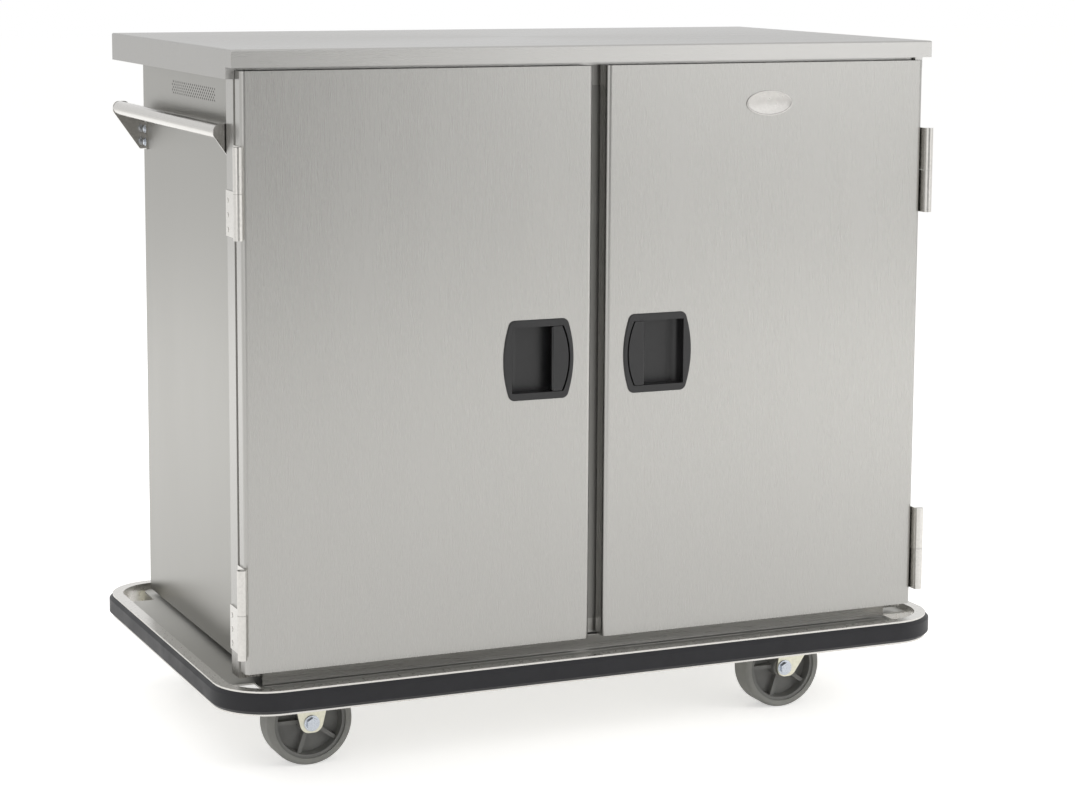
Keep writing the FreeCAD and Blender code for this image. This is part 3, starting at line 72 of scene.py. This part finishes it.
def new_material(name):
    material = bpy.data.materials.new(name)
    material.use_nodes = True
    tree = material.node_tree
    shader = tree.nodes["Principled BSDF"]
    place = add_node(tree, "ShaderNodeTexCoord").outputs["Object"]
    return material, tree, shader, place


MM = 0.001


def pattern_scale(x_mm, y_mm, z_mm):
    """Scale for a pattern whose features are this long along each axis."""
    return (1 / (x_mm * MM), 1 / (y_mm * MM), 1 / (z_mm * MM))


def ramp_between(tree, value, low_code, high_code, low=0.0, high=1.0):
    """A colour ramp that runs from one hex colour to another."""
    ramp = add_node(tree, "ShaderNodeValToRGB", {"Fac": value})
    ramp.color_ramp.elements[0].position = low
    ramp.color_ramp.elements[1].position = high
    ramp.color_ramp.elements[0].color = linear(low_code)
    ramp.color_ramp.elements[1].color = linear(high_code)
    return ramp.outputs["Color"]


# %% [markdown]
# ## Brushed stainless steel
# The cabinet is 304 stainless sheet, belt-brushed at the mill. The belt leaves fine parallel scratches,
# a few hundredths of a millimetre wide and centimetres long: they blur reflections across the grain and
# leave them sharper along it. A noise pattern stretched along the grain gives the streaks in colour and
# roughness, and a very low relief. The real scratches are finer than a pixel, so they are drawn 1 mm wide
# and 70 mm long. A second, broad noise stands for the sheet's slight waviness and for handling. The doors
# and the cover are brushed finest. The liner keeps the duller finish of the mill.

# %% Brushed steel
STREAK_LONG, STREAK_WIDE = 70, 1.0
CLOUD_LONG, CLOUD_WIDE = 600, 90


def lengths_along(grain, long, wide):
    """The lengths of a pattern's features on X, Y and Z, long on the axis of the grain."""
    return [long if axis == grain else wide for axis in "XYZ"]


def brushed_steel(name, grain, tint, shade, rough, relief=0.015, glancing="#ffffff"):
    material, tree, shader, place = new_material(name)
    fine = pattern_scale(*lengths_along(grain, STREAK_LONG, STREAK_WIDE))
    broad = pattern_scale(*lengths_along(grain, CLOUD_LONG, CLOUD_WIDE))
    fine_place = add_node(tree, "ShaderNodeMapping", {"Vector": place, "Scale": fine})
    broad_place = add_node(tree, "ShaderNodeMapping", {"Vector": place, "Scale": broad})
    streaks = add_node(tree, "ShaderNodeTexNoise", {
        "Vector": fine_place.outputs["Vector"], "Scale": 1.0, "Detail": 3.0, "Roughness": 0.6})
    cloud = add_node(tree, "ShaderNodeTexNoise", {
        "Vector": broad_place.outputs["Vector"], "Scale": 1.0, "Detail": 2.0, "Roughness": 0.5})
    mixed = add_node(tree, "ShaderNodeMix", {
        0: 0.35, 2: streaks.outputs["Fac"], 3: cloud.outputs["Fac"]}, data_type="FLOAT")
    colour = ramp_between(tree, mixed.outputs[0], shade, tint, 0.25, 0.75)
    spread = add_node(tree, "ShaderNodeMapRange", {
        "Value": mixed.outputs[0], "From Min": 0.3, "From Max": 0.7, "To Min": rough[0], "To Max": rough[1]})
    bump = add_node(tree, "ShaderNodeBump", {
        "Height": streaks.outputs["Fac"], "Strength": relief, "Distance": 0.2 * MM})
    tree.links.new(colour, shader.inputs["Base Color"])
    tree.links.new(spread.outputs["Result"], shader.inputs["Roughness"])
    tree.links.new(bump.outputs["Normal"], shader.inputs["Normal"])
    shader.inputs["Metallic"].default_value = 1.0
    shader.inputs["Anisotropic"].default_value = 0.4
    shader.inputs["Specular Tint"].default_value = linear(glancing)
    return material


FINE_BRUSH = 0.008
steel_upright = brushed_steel(
    "stainless_sheet_brushed_upright", "Z", "#adaca9", "#a8a7a4", (0.26, 0.29), FINE_BRUSH)
steel_level = brushed_steel(
    "stainless_cover_brushed_lengthwise", "X", "#b9b8b6", "#b3b2af", (0.26, 0.3), FINE_BRUSH, "#e6e6e6")
# The side and back panels are the doors' steel with a darker tint. This is painted shade for the sides,
# where less light falls.
steel_side_painted_shade = brushed_steel("stainless_side_panel_brushed_painted_shade", "Z", "#a1a09c", "#989793", (0.28, 0.38))
steel_deck = brushed_steel("stainless_deck_brushed_lengthwise", "X", "#cac9c5", "#c1c0bc", (0.58, 0.68))
steel_inner = brushed_steel("stainless_liner_mill_finish", "Z", "#c0bfbc", "#b2b1ae", (0.34, 0.5))
# The mullion takes a darker copy of the liner steel. This is painted shade for the deep, narrow gap between
# the doors.
steel_mullion_painted_shade = brushed_steel("stainless_mullion_painted_shade", "Z", "#a09f9c", "#92918e", (0.34, 0.5))
print("brushed finishes: sheet, cover, side panel, deck, liner, mullion")


# %% [markdown]
# ## Polished and plated metal
# The push handle, the hinges and the bumper rail are stainless too, but ground and buffed to an even
# satin with no direction, so a noise that is the same all round is enough, and it needs no relief. The
# caster forks are pressed steel with a zinc plate that is passivated, which gives it a faint yellow
# cast. The bolts have a bluer one.

# %% Satin and zinc
def satin_metal(name, tint, shade, rough, grain_mm):
    material, tree, shader, place = new_material(name)
    scaled = add_node(tree, "ShaderNodeMapping", {
        "Vector": place, "Scale": pattern_scale(grain_mm, grain_mm, grain_mm)})
    mottle = add_node(tree, "ShaderNodeTexNoise", {
        "Vector": scaled.outputs["Vector"], "Scale": 1.0, "Detail": 2.0, "Roughness": 0.5})
    colour = ramp_between(tree, mottle.outputs["Fac"], shade, tint, 0.35, 0.65)
    spread = add_node(tree, "ShaderNodeMapRange", {
        "Value": mottle.outputs["Fac"], "From Min": 0.3, "From Max": 0.7,
        "To Min": rough[0], "To Max": rough[1]})
    tree.links.new(colour, shader.inputs["Base Color"])
    tree.links.new(spread.outputs["Result"], shader.inputs["Roughness"])
    shader.inputs["Metallic"].default_value = 1.0
    return material


steel_polished = satin_metal("stainless_tube_buffed", "#c0beba", "#b8b6b2", (0.17, 0.22), 6)
steel_rail = satin_metal("stainless_rail_satin", "#d6d4d0", "#cfcdc9", (0.26, 0.32), 9)
steel_hinge = satin_metal("stainless_hinge_ground", "#d0ceca", "#c8c6c2", (0.18, 0.24), 5)
steel_plate = satin_metal("stainless_stamped_plate", "#b9b7b4", "#b1afac", (0.22, 0.28), 7)
zinc_bright = satin_metal("zinc_plated_pressed_steel", "#dedccb", "#d4d2c0", (0.34, 0.42), 4)
zinc_bolt = satin_metal("zinc_plated_bolt_steel", "#c9ced6", "#b6bcc4", (0.2, 0.28), 2)
print("satin and plated finishes: tube, rail, hinge, plate, pressed steel, bolt")


# %% [markdown]
# ## Rubber, vinyl, moulded plastic and painted shade
# These are not metals: most of their colour is diffuse and only a weak, broad highlight sits on top.
# The bumper is extruded black vinyl with the slightly uneven skin that a die leaves. The treads are grey
# thermoplastic rubber, matt and a little dusty. The wheel cores are moulded polypropylene and the
# latches black ABS with a spark-eroded grain of about half a millimetre. The door seals are EPDM
# rubber. The bolsters and the swivel plates under the cabinet are steel, coloured near-black as painted
# shade, so that they read as the shadow in the gap under the cabinet.

# %% Rubbers and plastics
DUST_PATCH = 45


def moulded(name, tint, shade, rough, grain_mm, relief, specular=0.5):
    material, tree, shader, place = new_material(name)
    fine = add_node(tree, "ShaderNodeMapping", {
        "Vector": place, "Scale": pattern_scale(grain_mm, grain_mm, grain_mm)})
    wide = add_node(tree, "ShaderNodeMapping", {
        "Vector": place, "Scale": pattern_scale(DUST_PATCH, DUST_PATCH, DUST_PATCH)})
    grain = add_node(tree, "ShaderNodeTexNoise", {
        "Vector": fine.outputs["Vector"], "Scale": 1.0, "Detail": 2.0, "Roughness": 0.5})
    dust = add_node(tree, "ShaderNodeTexNoise", {
        "Vector": wide.outputs["Vector"], "Scale": 1.0, "Detail": 4.0, "Roughness": 0.6})
    colour = ramp_between(tree, dust.outputs["Fac"], shade, tint, 0.3, 0.7)
    spread = add_node(tree, "ShaderNodeMapRange", {
        "Value": dust.outputs["Fac"], "From Min": 0.3, "From Max": 0.7,
        "To Min": rough[0], "To Max": rough[1]})
    bump = add_node(tree, "ShaderNodeBump", {
        "Height": grain.outputs["Fac"], "Strength": relief, "Distance": 0.15 * MM})
    tree.links.new(colour, shader.inputs["Base Color"])
    tree.links.new(spread.outputs["Result"], shader.inputs["Roughness"])
    tree.links.new(bump.outputs["Normal"], shader.inputs["Normal"])
    shader.inputs["Specular IOR Level"].default_value = specular
    return material


vinyl_black = moulded("vinyl_bumper_extruded_black", "#2b2b2e", "#222225", (0.42, 0.55), 1.5, 0.15, 0.3)
tread_grey = moulded("rubber_tread_grey", "#979793", "#8a8a86", (0.6, 0.75), 0.8, 0.2)
core_grey = moulded("polypropylene_wheel_core_grey", "#7f7f7c", "#727270", (0.4, 0.5), 0.6, 0.1)
latch_black = moulded("abs_latch_black_grained", "#232324", "#1b1b1c", (0.3, 0.38), 0.5, 0.12)
bead_black = moulded("abs_bead_black_polished", "#2c2c2d", "#262627", (0.16, 0.22), 0.8, 0.02)
seal_black = moulded("epdm_door_seal_black", "#1e1e1f", "#19191a", (0.55, 0.7), 0.8, 0.2)
# The bolster finish is painted shade: a near-black steel that stands in for the shadow under the cabinet.
steel_painted_shade_dark = moulded("bolster_steel_painted_shade_dark", "#2e2e2d", "#262625", (0.5, 0.62), 1.2, 0.1)
print("moulded and coated finishes: bumper, tread, wheel core, latch, bead, seal, bolster")


# %% [markdown]
# ## Dress the CAD pieces
# Each CAD node keeps its own mesh and only gets a material. The table pairs words in the nodes' names
# with a material. The first match wins, so the specific words come before the general ones. The empty
# word at the end takes all that is left: the door pans and the front posts.

# %% Materials by piece
FINISHES = [
    ("door_seal", seal_black),
    ("latch_housing", latch_black),
    ("latch_paddle", latch_black),
    ("latch_bolt", zinc_bright),
    ("vinyl_bumper", vinyl_black),
    ("perimeter_rail", steel_rail),
    ("wheel_tread", tread_grey),
    ("wheel_core", core_grey),
    ("_axle", zinc_bolt),
    ("_fork", zinc_bright),
    ("swivel_base", steel_painted_shade_dark),
    ("hinge", steel_hinge),
    ("push_handle", steel_polished),
    ("bracket", steel_polished),
    ("top_cover", steel_level),
    ("header_rail", steel_level),
    ("sill_rail", steel_level),
    ("mullion", steel_mullion_painted_shade),
    ("deck_sheet", steel_deck),
    ("side_panel", steel_side_painted_shade),
    ("back_panel", steel_side_painted_shade),
    ("rack", steel_inner),
    ("partition", steel_inner),
    ("cabinet_floor", steel_inner),
    ("ceiling", steel_inner),
    ("bolster", steel_painted_shade_dark),
    ("door_liner", steel_inner),
    ("", steel_upright),
]
for name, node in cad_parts.items():
    finish = next(material for word, material in FINISHES if word in name)
    node.data.materials.clear()
    node.data.materials.append(finish)
print("dressed", len(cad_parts), "CAD pieces")


# %% [markdown]
# ## Helpers for modelled pieces
# New pieces are made with the operators that a person uses by hand. An operator works on whatever is
# selected, so everything is deselected before each start. A finished piece has its place baked into its
# mesh and its object at the origin, like the CAD pieces, so that patterns stay put when bodies move.

# %% Modelling helpers
def start_fresh():
    if bpy.context.object and bpy.context.object.mode != "OBJECT":
        bpy.ops.object.mode_set(mode="OBJECT")
    bpy.ops.object.select_all(action="DESELECT")


def pick_faces(piece, test):
    """Select the faces whose centre and normal pass a test, ready for an edit-mode operator."""
    bpy.ops.object.mode_set(mode="EDIT")
    bpy.ops.mesh.select_mode(type="FACE")
    bpy.ops.mesh.select_all(action="DESELECT")
    bpy.ops.object.mode_set(mode="OBJECT")
    for face in piece.data.polygons:
        face.select = test(face.center, face.normal)
    bpy.ops.object.mode_set(mode="EDIT")


def soften(piece, width, segments=2, angle=40):
    """A live bevel made real, and smooth shading by angle."""
    bevel = piece.modifiers.new("edges", "BEVEL")
    bevel.width = width
    bevel.segments = segments
    bevel.limit_method = "ANGLE"
    bevel.angle_limit = math.radians(angle)
    start_fresh()
    piece.select_set(True)
    bpy.context.view_layer.objects.active = piece
    bpy.ops.object.modifier_apply(modifier=bevel.name)
    bpy.ops.object.shade_smooth_by_angle(angle=math.radians(35))


def bake_place(piece):
    """Move a piece's place into its mesh."""
    start_fresh()
    piece.select_set(True)
    bpy.context.view_layer.objects.active = piece
    bpy.ops.object.transform_apply(location=True, rotation=True, scale=True)


def copies_at(master, places, name):
    """Copies of a small piece at several places, joined into one object: each place is a matrix."""
    made = []
    for place in places:
        twin = master.copy()
        twin.data = master.data.copy()
        twin.matrix_world = place
        bpy.context.collection.objects.link(twin)
        made.append(twin)
    start_fresh()
    for twin in made:
        twin.select_set(True)
    bpy.context.view_layer.objects.active = made[0]
    if len(made) > 1:
        bpy.ops.object.join()
    group = bpy.context.view_layer.objects.active
    group.name = name
    group.data.name = name
    bake_place(group)
    return group


def facing(direction):
    """A rotation that turns +Z to a direction."""
    return Vector(direction).to_track_quat("Z", "Y").to_matrix().to_4x4()


def finish_piece(piece, material, body):
    piece.data.materials.clear()
    piece.data.materials.append(material)
    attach(piece, body)
    print(piece.name, len(piece.data.polygons), "faces, rides on", body)


# %% [markdown]
# ## Hinge screws
# Each hinge leaf is held to its post by three machine screws with low domed heads and a recess for the
# driver. One head is shaped from a short cylinder: its top is inset and raised a little for the dome,
# then inset again and pushed back in for the recess. It is modelled once and copied to every leaf.

# %% Model one screw head
def make_screw_head(radius, height):
    start_fresh()
    bpy.ops.mesh.primitive_cylinder_add(
        vertices=20, radius=radius, depth=height, location=(0, 0, height / 2))
    head = bpy.context.object
    pick_faces(head, lambda centre, normal: normal.z > 0.9 and centre.z > height * 0.9)
    bpy.ops.mesh.inset(thickness=radius * 0.3)
    bpy.ops.transform.translate(value=(0, 0, height * 0.3))
    bpy.ops.mesh.inset(thickness=radius * 0.28)
    bpy.ops.mesh.inset(thickness=radius * 0.06)
    bpy.ops.transform.translate(value=(0, 0, -height * 0.6))
    bpy.ops.object.mode_set(mode="OBJECT")
    soften(head, radius * 0.06, 1, 50)
    return head


screw_head = make_screw_head(4.6 * MM, 1.6 * MM)
print("screw head:", len(screw_head.data.polygons), "faces")

# %% Seat the screws on the hinge leaves
POST_SIDE, LEAF_THICK = 640.5 * MM, 3 * MM
SCREW_FIRST, SCREW_STEP, SCREW_INSET = 11 * MM, 24 * MM, 9 * MM
for side, sign in (("left", -1), ("right", 1)):
    for level in ("lower", "upper"):
        low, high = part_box(f"{side}_{level}_frame_hinge")
        heights = [low.z + (SCREW_FIRST + SCREW_STEP * i) for i in range(3)]
        spots = [Vector((sign * (POST_SIDE + LEAF_THICK), high.y - SCREW_INSET, z)) for z in heights]
        turned = [Matrix.Translation(p) @ facing((sign, 0, 0)) for p in spots]
        screws = copies_at(screw_head, turned, f"{side}_{level}_hinge_screws")
        finish_piece(screws, steel_hinge, "cart")

# %% [markdown]
# ## Handle bolts
# The push handle's brackets are bolted through the side panel. Two dome-headed bolts with washers show
# on each flange. The washer is a thin disc. Its face is inset to the head's size and extruded, and two
# more insets, each raised a little less, round the head off.

# %% Model and seat the handle bolts
def make_dome_bolt(radius, height):
    start_fresh()
    bpy.ops.mesh.primitive_cylinder_add(
        vertices=28, radius=radius * 1.45, depth=height * 0.3, location=(0, 0, height * 0.15))
    bolt = bpy.context.object
    pick_faces(bolt, lambda centre, normal: normal.z > 0.9)
    bpy.ops.mesh.inset(thickness=radius * 0.45)
    bpy.ops.mesh.extrude_region_move(TRANSFORM_OT_translate={"value": (0, 0, height * 0.4)})
    bpy.ops.mesh.inset(thickness=radius * 0.3)
    bpy.ops.transform.translate(value=(0, 0, height * 0.22))
    bpy.ops.mesh.inset(thickness=radius * 0.35)
    bpy.ops.transform.translate(value=(0, 0, height * 0.08))
    bpy.ops.object.mode_set(mode="OBJECT")
    soften(bolt, radius * 0.08, 2, 50)
    return bolt


dome_bolt = make_dome_bolt(5.5 * MM, 5 * MM)
print("dome bolt:", len(dome_bolt.data.polygons), "faces")
FLANGE_FACE, BOLT_INSET, BOLT_HEIGHTS = -605.5 * MM, 16.5 * MM, (1023.5 * MM, 1047.5 * MM)
for end in ("front", "rear"):
    low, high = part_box(f"{end}_handle_bracket")
    y = low.y + BOLT_INSET if end == "front" else high.y - BOLT_INSET
    spots = [Vector((FLANGE_FACE, y, z)) for z in BOLT_HEIGHTS]
    turned = [Matrix.Translation(p) @ facing((-1, 0, 0)) for p in spots]
    bolts = copies_at(dome_bolt, turned, f"{end}_handle_bolts")
    finish_piece(bolts, zinc_bolt, "cart")

# %% [markdown]
# ## Axle washers
# Each axle bolt clamps its fork with a flat washer under the head and one under the nut. A washer
# starts as the edge of its hole: a ring of edges that is extruded and scaled outwards to the rim. Solidify
# gives it thickness and a small bevel breaks its edges.

# %% Model and seat the axle washers
def make_washer(outer, inner, thick):
    start_fresh()
    bpy.ops.mesh.primitive_circle_add(vertices=36, radius=inner, location=(0, 0, 0))
    washer = bpy.context.object
    bpy.ops.object.mode_set(mode="EDIT")
    bpy.ops.mesh.select_all(action="SELECT")
    bpy.ops.mesh.extrude_edges_move()
    bpy.ops.transform.resize(value=(outer / inner, outer / inner, 1))
    bpy.ops.object.mode_set(mode="OBJECT")
    wall = washer.modifiers.new("wall", "SOLIDIFY")
    wall.thickness = thick
    wall.offset = 1.0
    start_fresh()
    washer.select_set(True)
    bpy.context.view_layer.objects.active = washer
    bpy.ops.object.modifier_apply(modifier=wall.name)
    bpy.ops.object.mode_set(mode="EDIT")
    bpy.ops.mesh.select_all(action="SELECT")
    bpy.ops.mesh.normals_make_consistent(inside=False)
    bpy.ops.object.mode_set(mode="OBJECT")
    soften(washer, thick * 0.2, 2, 50)
    lowest = min(vertex.co.z for vertex in washer.data.vertices)
    washer.location = (0, 0, -lowest)
    bake_place(washer)
    return washer


washer = make_washer(14 * MM, 6.4 * MM, 1.6 * MM)
print("washer:", len(washer.data.polygons), "faces")
AXLE_HEAD = 7.5 * MM
for end in ("front", "rear"):
    for kind, body in (("fixed", "cart"), ("swivel", f"{end}_swivel")):
        low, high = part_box(f"{end}_{kind}_axle")
        x, z = (low.x + high.x) / 2, (low.z + high.z) / 2
        turned = [
            Matrix.Translation((x, low.y + AXLE_HEAD, z)) @ facing((0, -1, 0)),
            Matrix.Translation((x, high.y - AXLE_HEAD, z)) @ facing((0, 1, 0)),
        ]
        washers = copies_at(washer, turned, f"{end}_{kind}_axle_washers")
        finish_piece(washers, zinc_bolt, body)

# %% [markdown]
# ## Paddle beads
# The lip of each latch paddle ends in a round bead that the fingers close on. It runs the height of the
# well and catches a thin highlight. The bead is a slim rod whose ends are inset and pushed in, which
# leaves the small step of a plug at each end.

# %% Model and seat the paddle beads
def make_bead(radius, length):
    start_fresh()
    bpy.ops.mesh.primitive_cylinder_add(vertices=28, radius=radius, depth=length, location=(0, 0, 0))
    bead = bpy.context.object
    pick_faces(bead, lambda centre, normal: abs(normal.z) > 0.9)
    bpy.ops.mesh.inset(thickness=radius * 0.35, use_individual=True)
    bpy.ops.mesh.extrude_region_shrink_fatten(TRANSFORM_OT_shrink_fatten={"value": -radius * 0.4})
    bpy.ops.object.mode_set(mode="OBJECT")
    soften(bead, radius * 0.12, 2, 50)
    return bead


BEAD_RADIUS, BEAD_SUNK, BEAD_SPARE = 2.4 * MM, 0.4 * MM, 2 * MM
for side, sign in (("left", -1), ("right", 1)):
    low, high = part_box(f"{side}_latch_paddle")
    lip_x = low.x if side == "left" else high.x
    bead = make_bead(BEAD_RADIUS, (high.z - low.z) - BEAD_SPARE)
    bead.location = (lip_x, low.y + BEAD_RADIUS + BEAD_SUNK, (low.z + high.z) / 2)
    bake_place(bead)
    bead.name = bead.data.name = f"{side}_paddle_bead"
    finish_piece(bead, bead_black, f"{side}_paddle")

# %% [markdown]
# ## Oval plate
# A small oval plate is riveted near the top of the right door. It stays plain: a raised rim round a
# slightly sunk field, stamped from stainless sheet. It starts as a thin disc stretched to an oval. The
# face is inset for the rim and again for the slope, the inner face is pushed back, and all is bevelled.

# %% Model and seat the oval plate
PLATE_WIDE, PLATE_TALL, PLATE_THICK = 90.7 * MM, 44.6 * MM, 1.6 * MM
PLATE_X, PLATE_Z = 0.3267, 1.1187
door_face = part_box("right_door_pan")[0].y
start_fresh()
bpy.ops.mesh.primitive_cylinder_add(vertices=72, radius=0.5, depth=1, location=(0, 0, 0))
plate = bpy.context.object
plate.name = plate.data.name = "right_door_oval_plate"
plate.scale = (PLATE_WIDE, PLATE_TALL, PLATE_THICK)
bake_place(plate)
pick_faces(plate, lambda centre, normal: normal.z > 0.9)
bpy.ops.mesh.inset(thickness=2.2 * MM)
bpy.ops.mesh.inset(thickness=0.9 * MM)
bpy.ops.transform.translate(value=(0, 0, -0.7 * MM))
bpy.ops.object.mode_set(mode="OBJECT")
soften(plate, 0.3 * MM, 2, 35)
plate.matrix_world = Matrix.Translation((PLATE_X, door_face - PLATE_THICK / 2, PLATE_Z)) @ (
    Matrix.Rotation(math.radians(90), 4, "X"))
bake_place(plate)
finish_piece(plate, steel_plate, "right_door")

# %% [markdown]
# ## Kick strip
# A folded strip of the same sheet closes the gap between the sill and the deck, set back under the doors
# so that they swing over it. It starts as a thin upright leaf. Two cuts across it mark off its edges, and
# the faces between the cuts and the edges are extruded forward: a wide foot that lies on the deck, and a
# narrow lip that stiffens the top.

# %% Model the kick strip
STRIP_THICK, STRIP_FOOT, STRIP_LIP = 1.5 * MM, 11 * MM, 3.5 * MM
STRIP_AHEAD, STRIP_CLEAR = 6 * MM, 2 * MM
sill_low, sill_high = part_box("sill_rail")
strip_low, strip_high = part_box("deck_sheet")[1].z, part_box("left_door_pan")[0].z - STRIP_CLEAR
start_fresh()
strip_middle = (strip_low + strip_high) / 2
bpy.ops.mesh.primitive_cube_add(size=1, location=(0, sill_low.y - STRIP_AHEAD, strip_middle))
strip = bpy.context.object
strip.name = strip.data.name = "front_kick_strip"
strip.scale = (sill_high.x - sill_low.x - STRIP_CLEAR, STRIP_THICK, strip_high - strip_low)
bake_place(strip)
for edge, reach in ((strip_low + STRIP_THICK, STRIP_FOOT), (strip_high - STRIP_THICK, STRIP_LIP)):
    bpy.ops.object.mode_set(mode="EDIT")
    bpy.ops.mesh.select_all(action="SELECT")
    bpy.ops.mesh.bisect(plane_co=(0, 0, edge), plane_no=(0, 0, 1))
    bpy.ops.object.mode_set(mode="OBJECT")
    pick_faces(strip, lambda centre, normal: normal.y < -0.9 and (
        (centre.z < edge) == (edge < strip_middle) and abs(centre.z - edge) < STRIP_THICK))
    bpy.ops.mesh.extrude_region_move(TRANSFORM_OT_translate={"value": (0, -reach, 0)})
    bpy.ops.object.mode_set(mode="OBJECT")
soften(strip, 0.4 * MM, 2, 40)
finish_piece(strip, steel_level, "cart")

# %% [markdown]
# The pieces that were copied leave their first ones behind. These aren't part of the cart, so they go.

# %% Put the masters away
for master in (screw_head, dome_bolt, washer):
    bpy.data.objects.remove(master)
print("pieces on the cart beside the CAD's: screws, bolts, washers, beads, plate and strip")

# %% [markdown]
# ## The studio
# Brushed steel has almost no colour of its own: what it shows is the room. The cart stands on white paper
# in a white room. A low grey card stands behind the camera, where the left door mirrors it, and a large
# soft lamp at the right brightens the paper that the right door mirrors. Together they give the slow change
# from grey to light grey across the doors. A weaker lamp in front, to the right of the camera, does the
# same for the tops of the doors. The paper shows the shadow. Where nothing shades it, a faint
# glow makes it as white as the background. The camera and the mirrors see that glow, and no surface is
# lit by it, so the shadow stays and the steel mirrors the same white that the picture shows.

# %% Which rays see the background
def seen_directly(tree):
    """1 for what the camera sees by itself, in a mirror or through glass, and 0 for light on a surface."""
    rays = add_node(tree, "ShaderNodeLightPath")
    mirrored = add_node(tree, "ShaderNodeMath", {
        0: rays.outputs["Is Glossy Ray"], 1: rays.outputs["Is Transmission Ray"]}, operation="MAXIMUM")
    seen = add_node(tree, "ShaderNodeMath", {
        0: rays.outputs["Is Camera Ray"], 1: mirrored.outputs["Value"]}, operation="MAXIMUM")
    return seen.outputs["Value"]


# %% Floor
start_fresh()
bpy.ops.mesh.primitive_plane_add(size=60, location=(0, 0, 0))
floor = bpy.context.object
floor.name = "studio_floor"
floor_material, floor_tree, floor_shader, _ = new_material("studio_floor_white_paper")
floor_shader.inputs["Base Color"].default_value = linear("#f7f6f4")
floor_shader.inputs["Roughness"].default_value = 1.0
floor_shader.inputs["Specular IOR Level"].default_value = 0.0
FLOOR_GLOW = 0.5
floor_lift = add_node(floor_tree, "ShaderNodeMath", {
    0: seen_directly(floor_tree), 1: FLOOR_GLOW}, operation="MULTIPLY")
floor_glow = add_node(floor_tree, "ShaderNodeEmission", {
    "Color": linear("#ffffff"), "Strength": floor_lift.outputs["Value"]})
floor_sum = add_node(floor_tree, "ShaderNodeAddShader", {
    0: floor_shader.outputs["BSDF"], 1: floor_glow.outputs["Emission"]})
floor_out = floor_tree.nodes["Material Output"]
floor_tree.links.new(floor_sum.outputs["Shader"], floor_out.inputs["Surface"])
floor.data.materials.append(floor_material)
print("floor glow", FLOOR_GLOW)

# %% Grey card
start_fresh()
bpy.ops.mesh.primitive_plane_add(size=1, location=(0, 0, 0))
card = bpy.context.object
card.name = "studio_card"
CARD_LEFT, CARD_RIGHT, CARD_TALL, CARD_AWAY = -5.0, 1.7, 2.2, 7.0
card.matrix_world = Matrix.Translation(((CARD_LEFT + CARD_RIGHT) / 2, -CARD_AWAY, CARD_TALL / 2)) @ (
    Matrix.Rotation(math.radians(-90), 4, "X") @ Matrix.Diagonal((CARD_RIGHT - CARD_LEFT, CARD_TALL, 1, 1)))
bake_place(card)
card_material, _, card_shader, _ = new_material("studio_card_grey")
card_shader.inputs["Base Color"].default_value = linear("#c4c4c4")
card_shader.inputs["Roughness"].default_value = 1.0
card_shader.inputs["Specular IOR Level"].default_value = 0.0
card.data.materials.append(card_material)
card.visible_camera = False
print("card", CARD_RIGHT - CARD_LEFT, "by", CARD_TALL, "m")

# %% World
world = bpy.data.worlds.new("studio")
bpy.context.scene.world = world
world.use_nodes = True
tree = world.node_tree
tree.nodes.clear()
ROOM_LIGHT = 0.55
light = add_node(tree, "ShaderNodeBackground", {"Color": linear("#ffffff"), "Strength": ROOM_LIGHT})
white = add_node(tree, "ShaderNodeBackground", {"Color": linear("#ffffff"), "Strength": 1.0})
both = add_node(tree, "ShaderNodeMixShader", {
    0: seen_directly(tree), 1: light.outputs["Background"], 2: white.outputs["Background"]})
add_node(tree, "ShaderNodeOutputWorld", {"Surface": both.outputs["Shader"]})
print("room light", ROOM_LIGHT)


# %% Lamps
def soft_panel(name, place, target, size, brightness, mirrored):
    """A rectangular lamp. Its brightness is that of its face, where the white background is 1, and
    mirrored says whether the steel shows the lamp itself or only the paper that it lights."""
    lamp = bpy.data.lights.new(name, "AREA")
    lamp.shape = "RECTANGLE"
    lamp.size, lamp.size_y = size
    lamp.energy = brightness * math.pi * size[0] * size[1]
    stand = bpy.data.objects.new(name, lamp)
    bpy.context.collection.objects.link(stand)
    stand.matrix_world = Matrix.Translation(place) @ (
        (Vector(place) - Vector(target)).to_track_quat("Z", "Y").to_matrix().to_4x4())
    stand.visible_camera = False
    stand.visible_glossy = mirrored
    print(name, "brightness", brightness)


soft_panel("right_panel", (4.4, -3.6, 2.8), (2.0, -1.8, 0.2), (2.6, 2.6), 6.2, False)
soft_panel("front_panel", (4.6, -7.5, 1.7), (0.3, -0.4, 0.9), (3.0, 2.4), 0.9, True)
soft_panel("back_panel", (-2.4, 3.6, 3.6), (-1.8, 2.6, 0.0), (4.0, 3.6), 2.0, False)
soft_panel("left_panel", (-5.0, -5.0, 1.5), (-0.4, -0.4, 0.5), (3.6, 2.6), 0.5, True)

# %% [markdown]
# ## The camera
# The photograph was taken from a little above the cabinet's top, left of the cart's centre line, with a
# long lens. Most of the downward view is a real tilt and the small rest is lens shift.

# %% Camera
PICTURE_WIDTH = 1075
CAMERA_PLACE = (-1.9483, -4.5347, 1.4161)
focal_px, yaw, pitch, roll = 2696.4, math.radians(23.714), math.radians(8.096), math.radians(0.323)
ahead = Vector((math.sin(yaw) * math.cos(pitch), math.cos(yaw) * math.cos(pitch), -math.sin(pitch)))
level_right = Vector((math.cos(yaw), -math.sin(yaw), 0))
upright = level_right.cross(ahead)
right = math.cos(roll) * level_right + math.sin(roll) * upright
up = -math.sin(roll) * level_right + math.cos(roll) * upright
lens = bpy.data.cameras.new("studio_camera")
lens.sensor_width = 36
lens.lens = focal_px * lens.sensor_width / PICTURE_WIDTH
lens.shift_y = -0.08
camera = bpy.data.objects.new("studio_camera", lens)
bpy.context.collection.objects.link(camera)
turn = Matrix((right, up, -ahead)).transposed().to_4x4()
camera.matrix_world = Matrix.Translation(CAMERA_PLACE) @ turn
bpy.context.scene.camera = camera
bpy.context.scene.view_settings.view_transform = "Standard"
print("lens", round(lens.lens, 1), "mm")
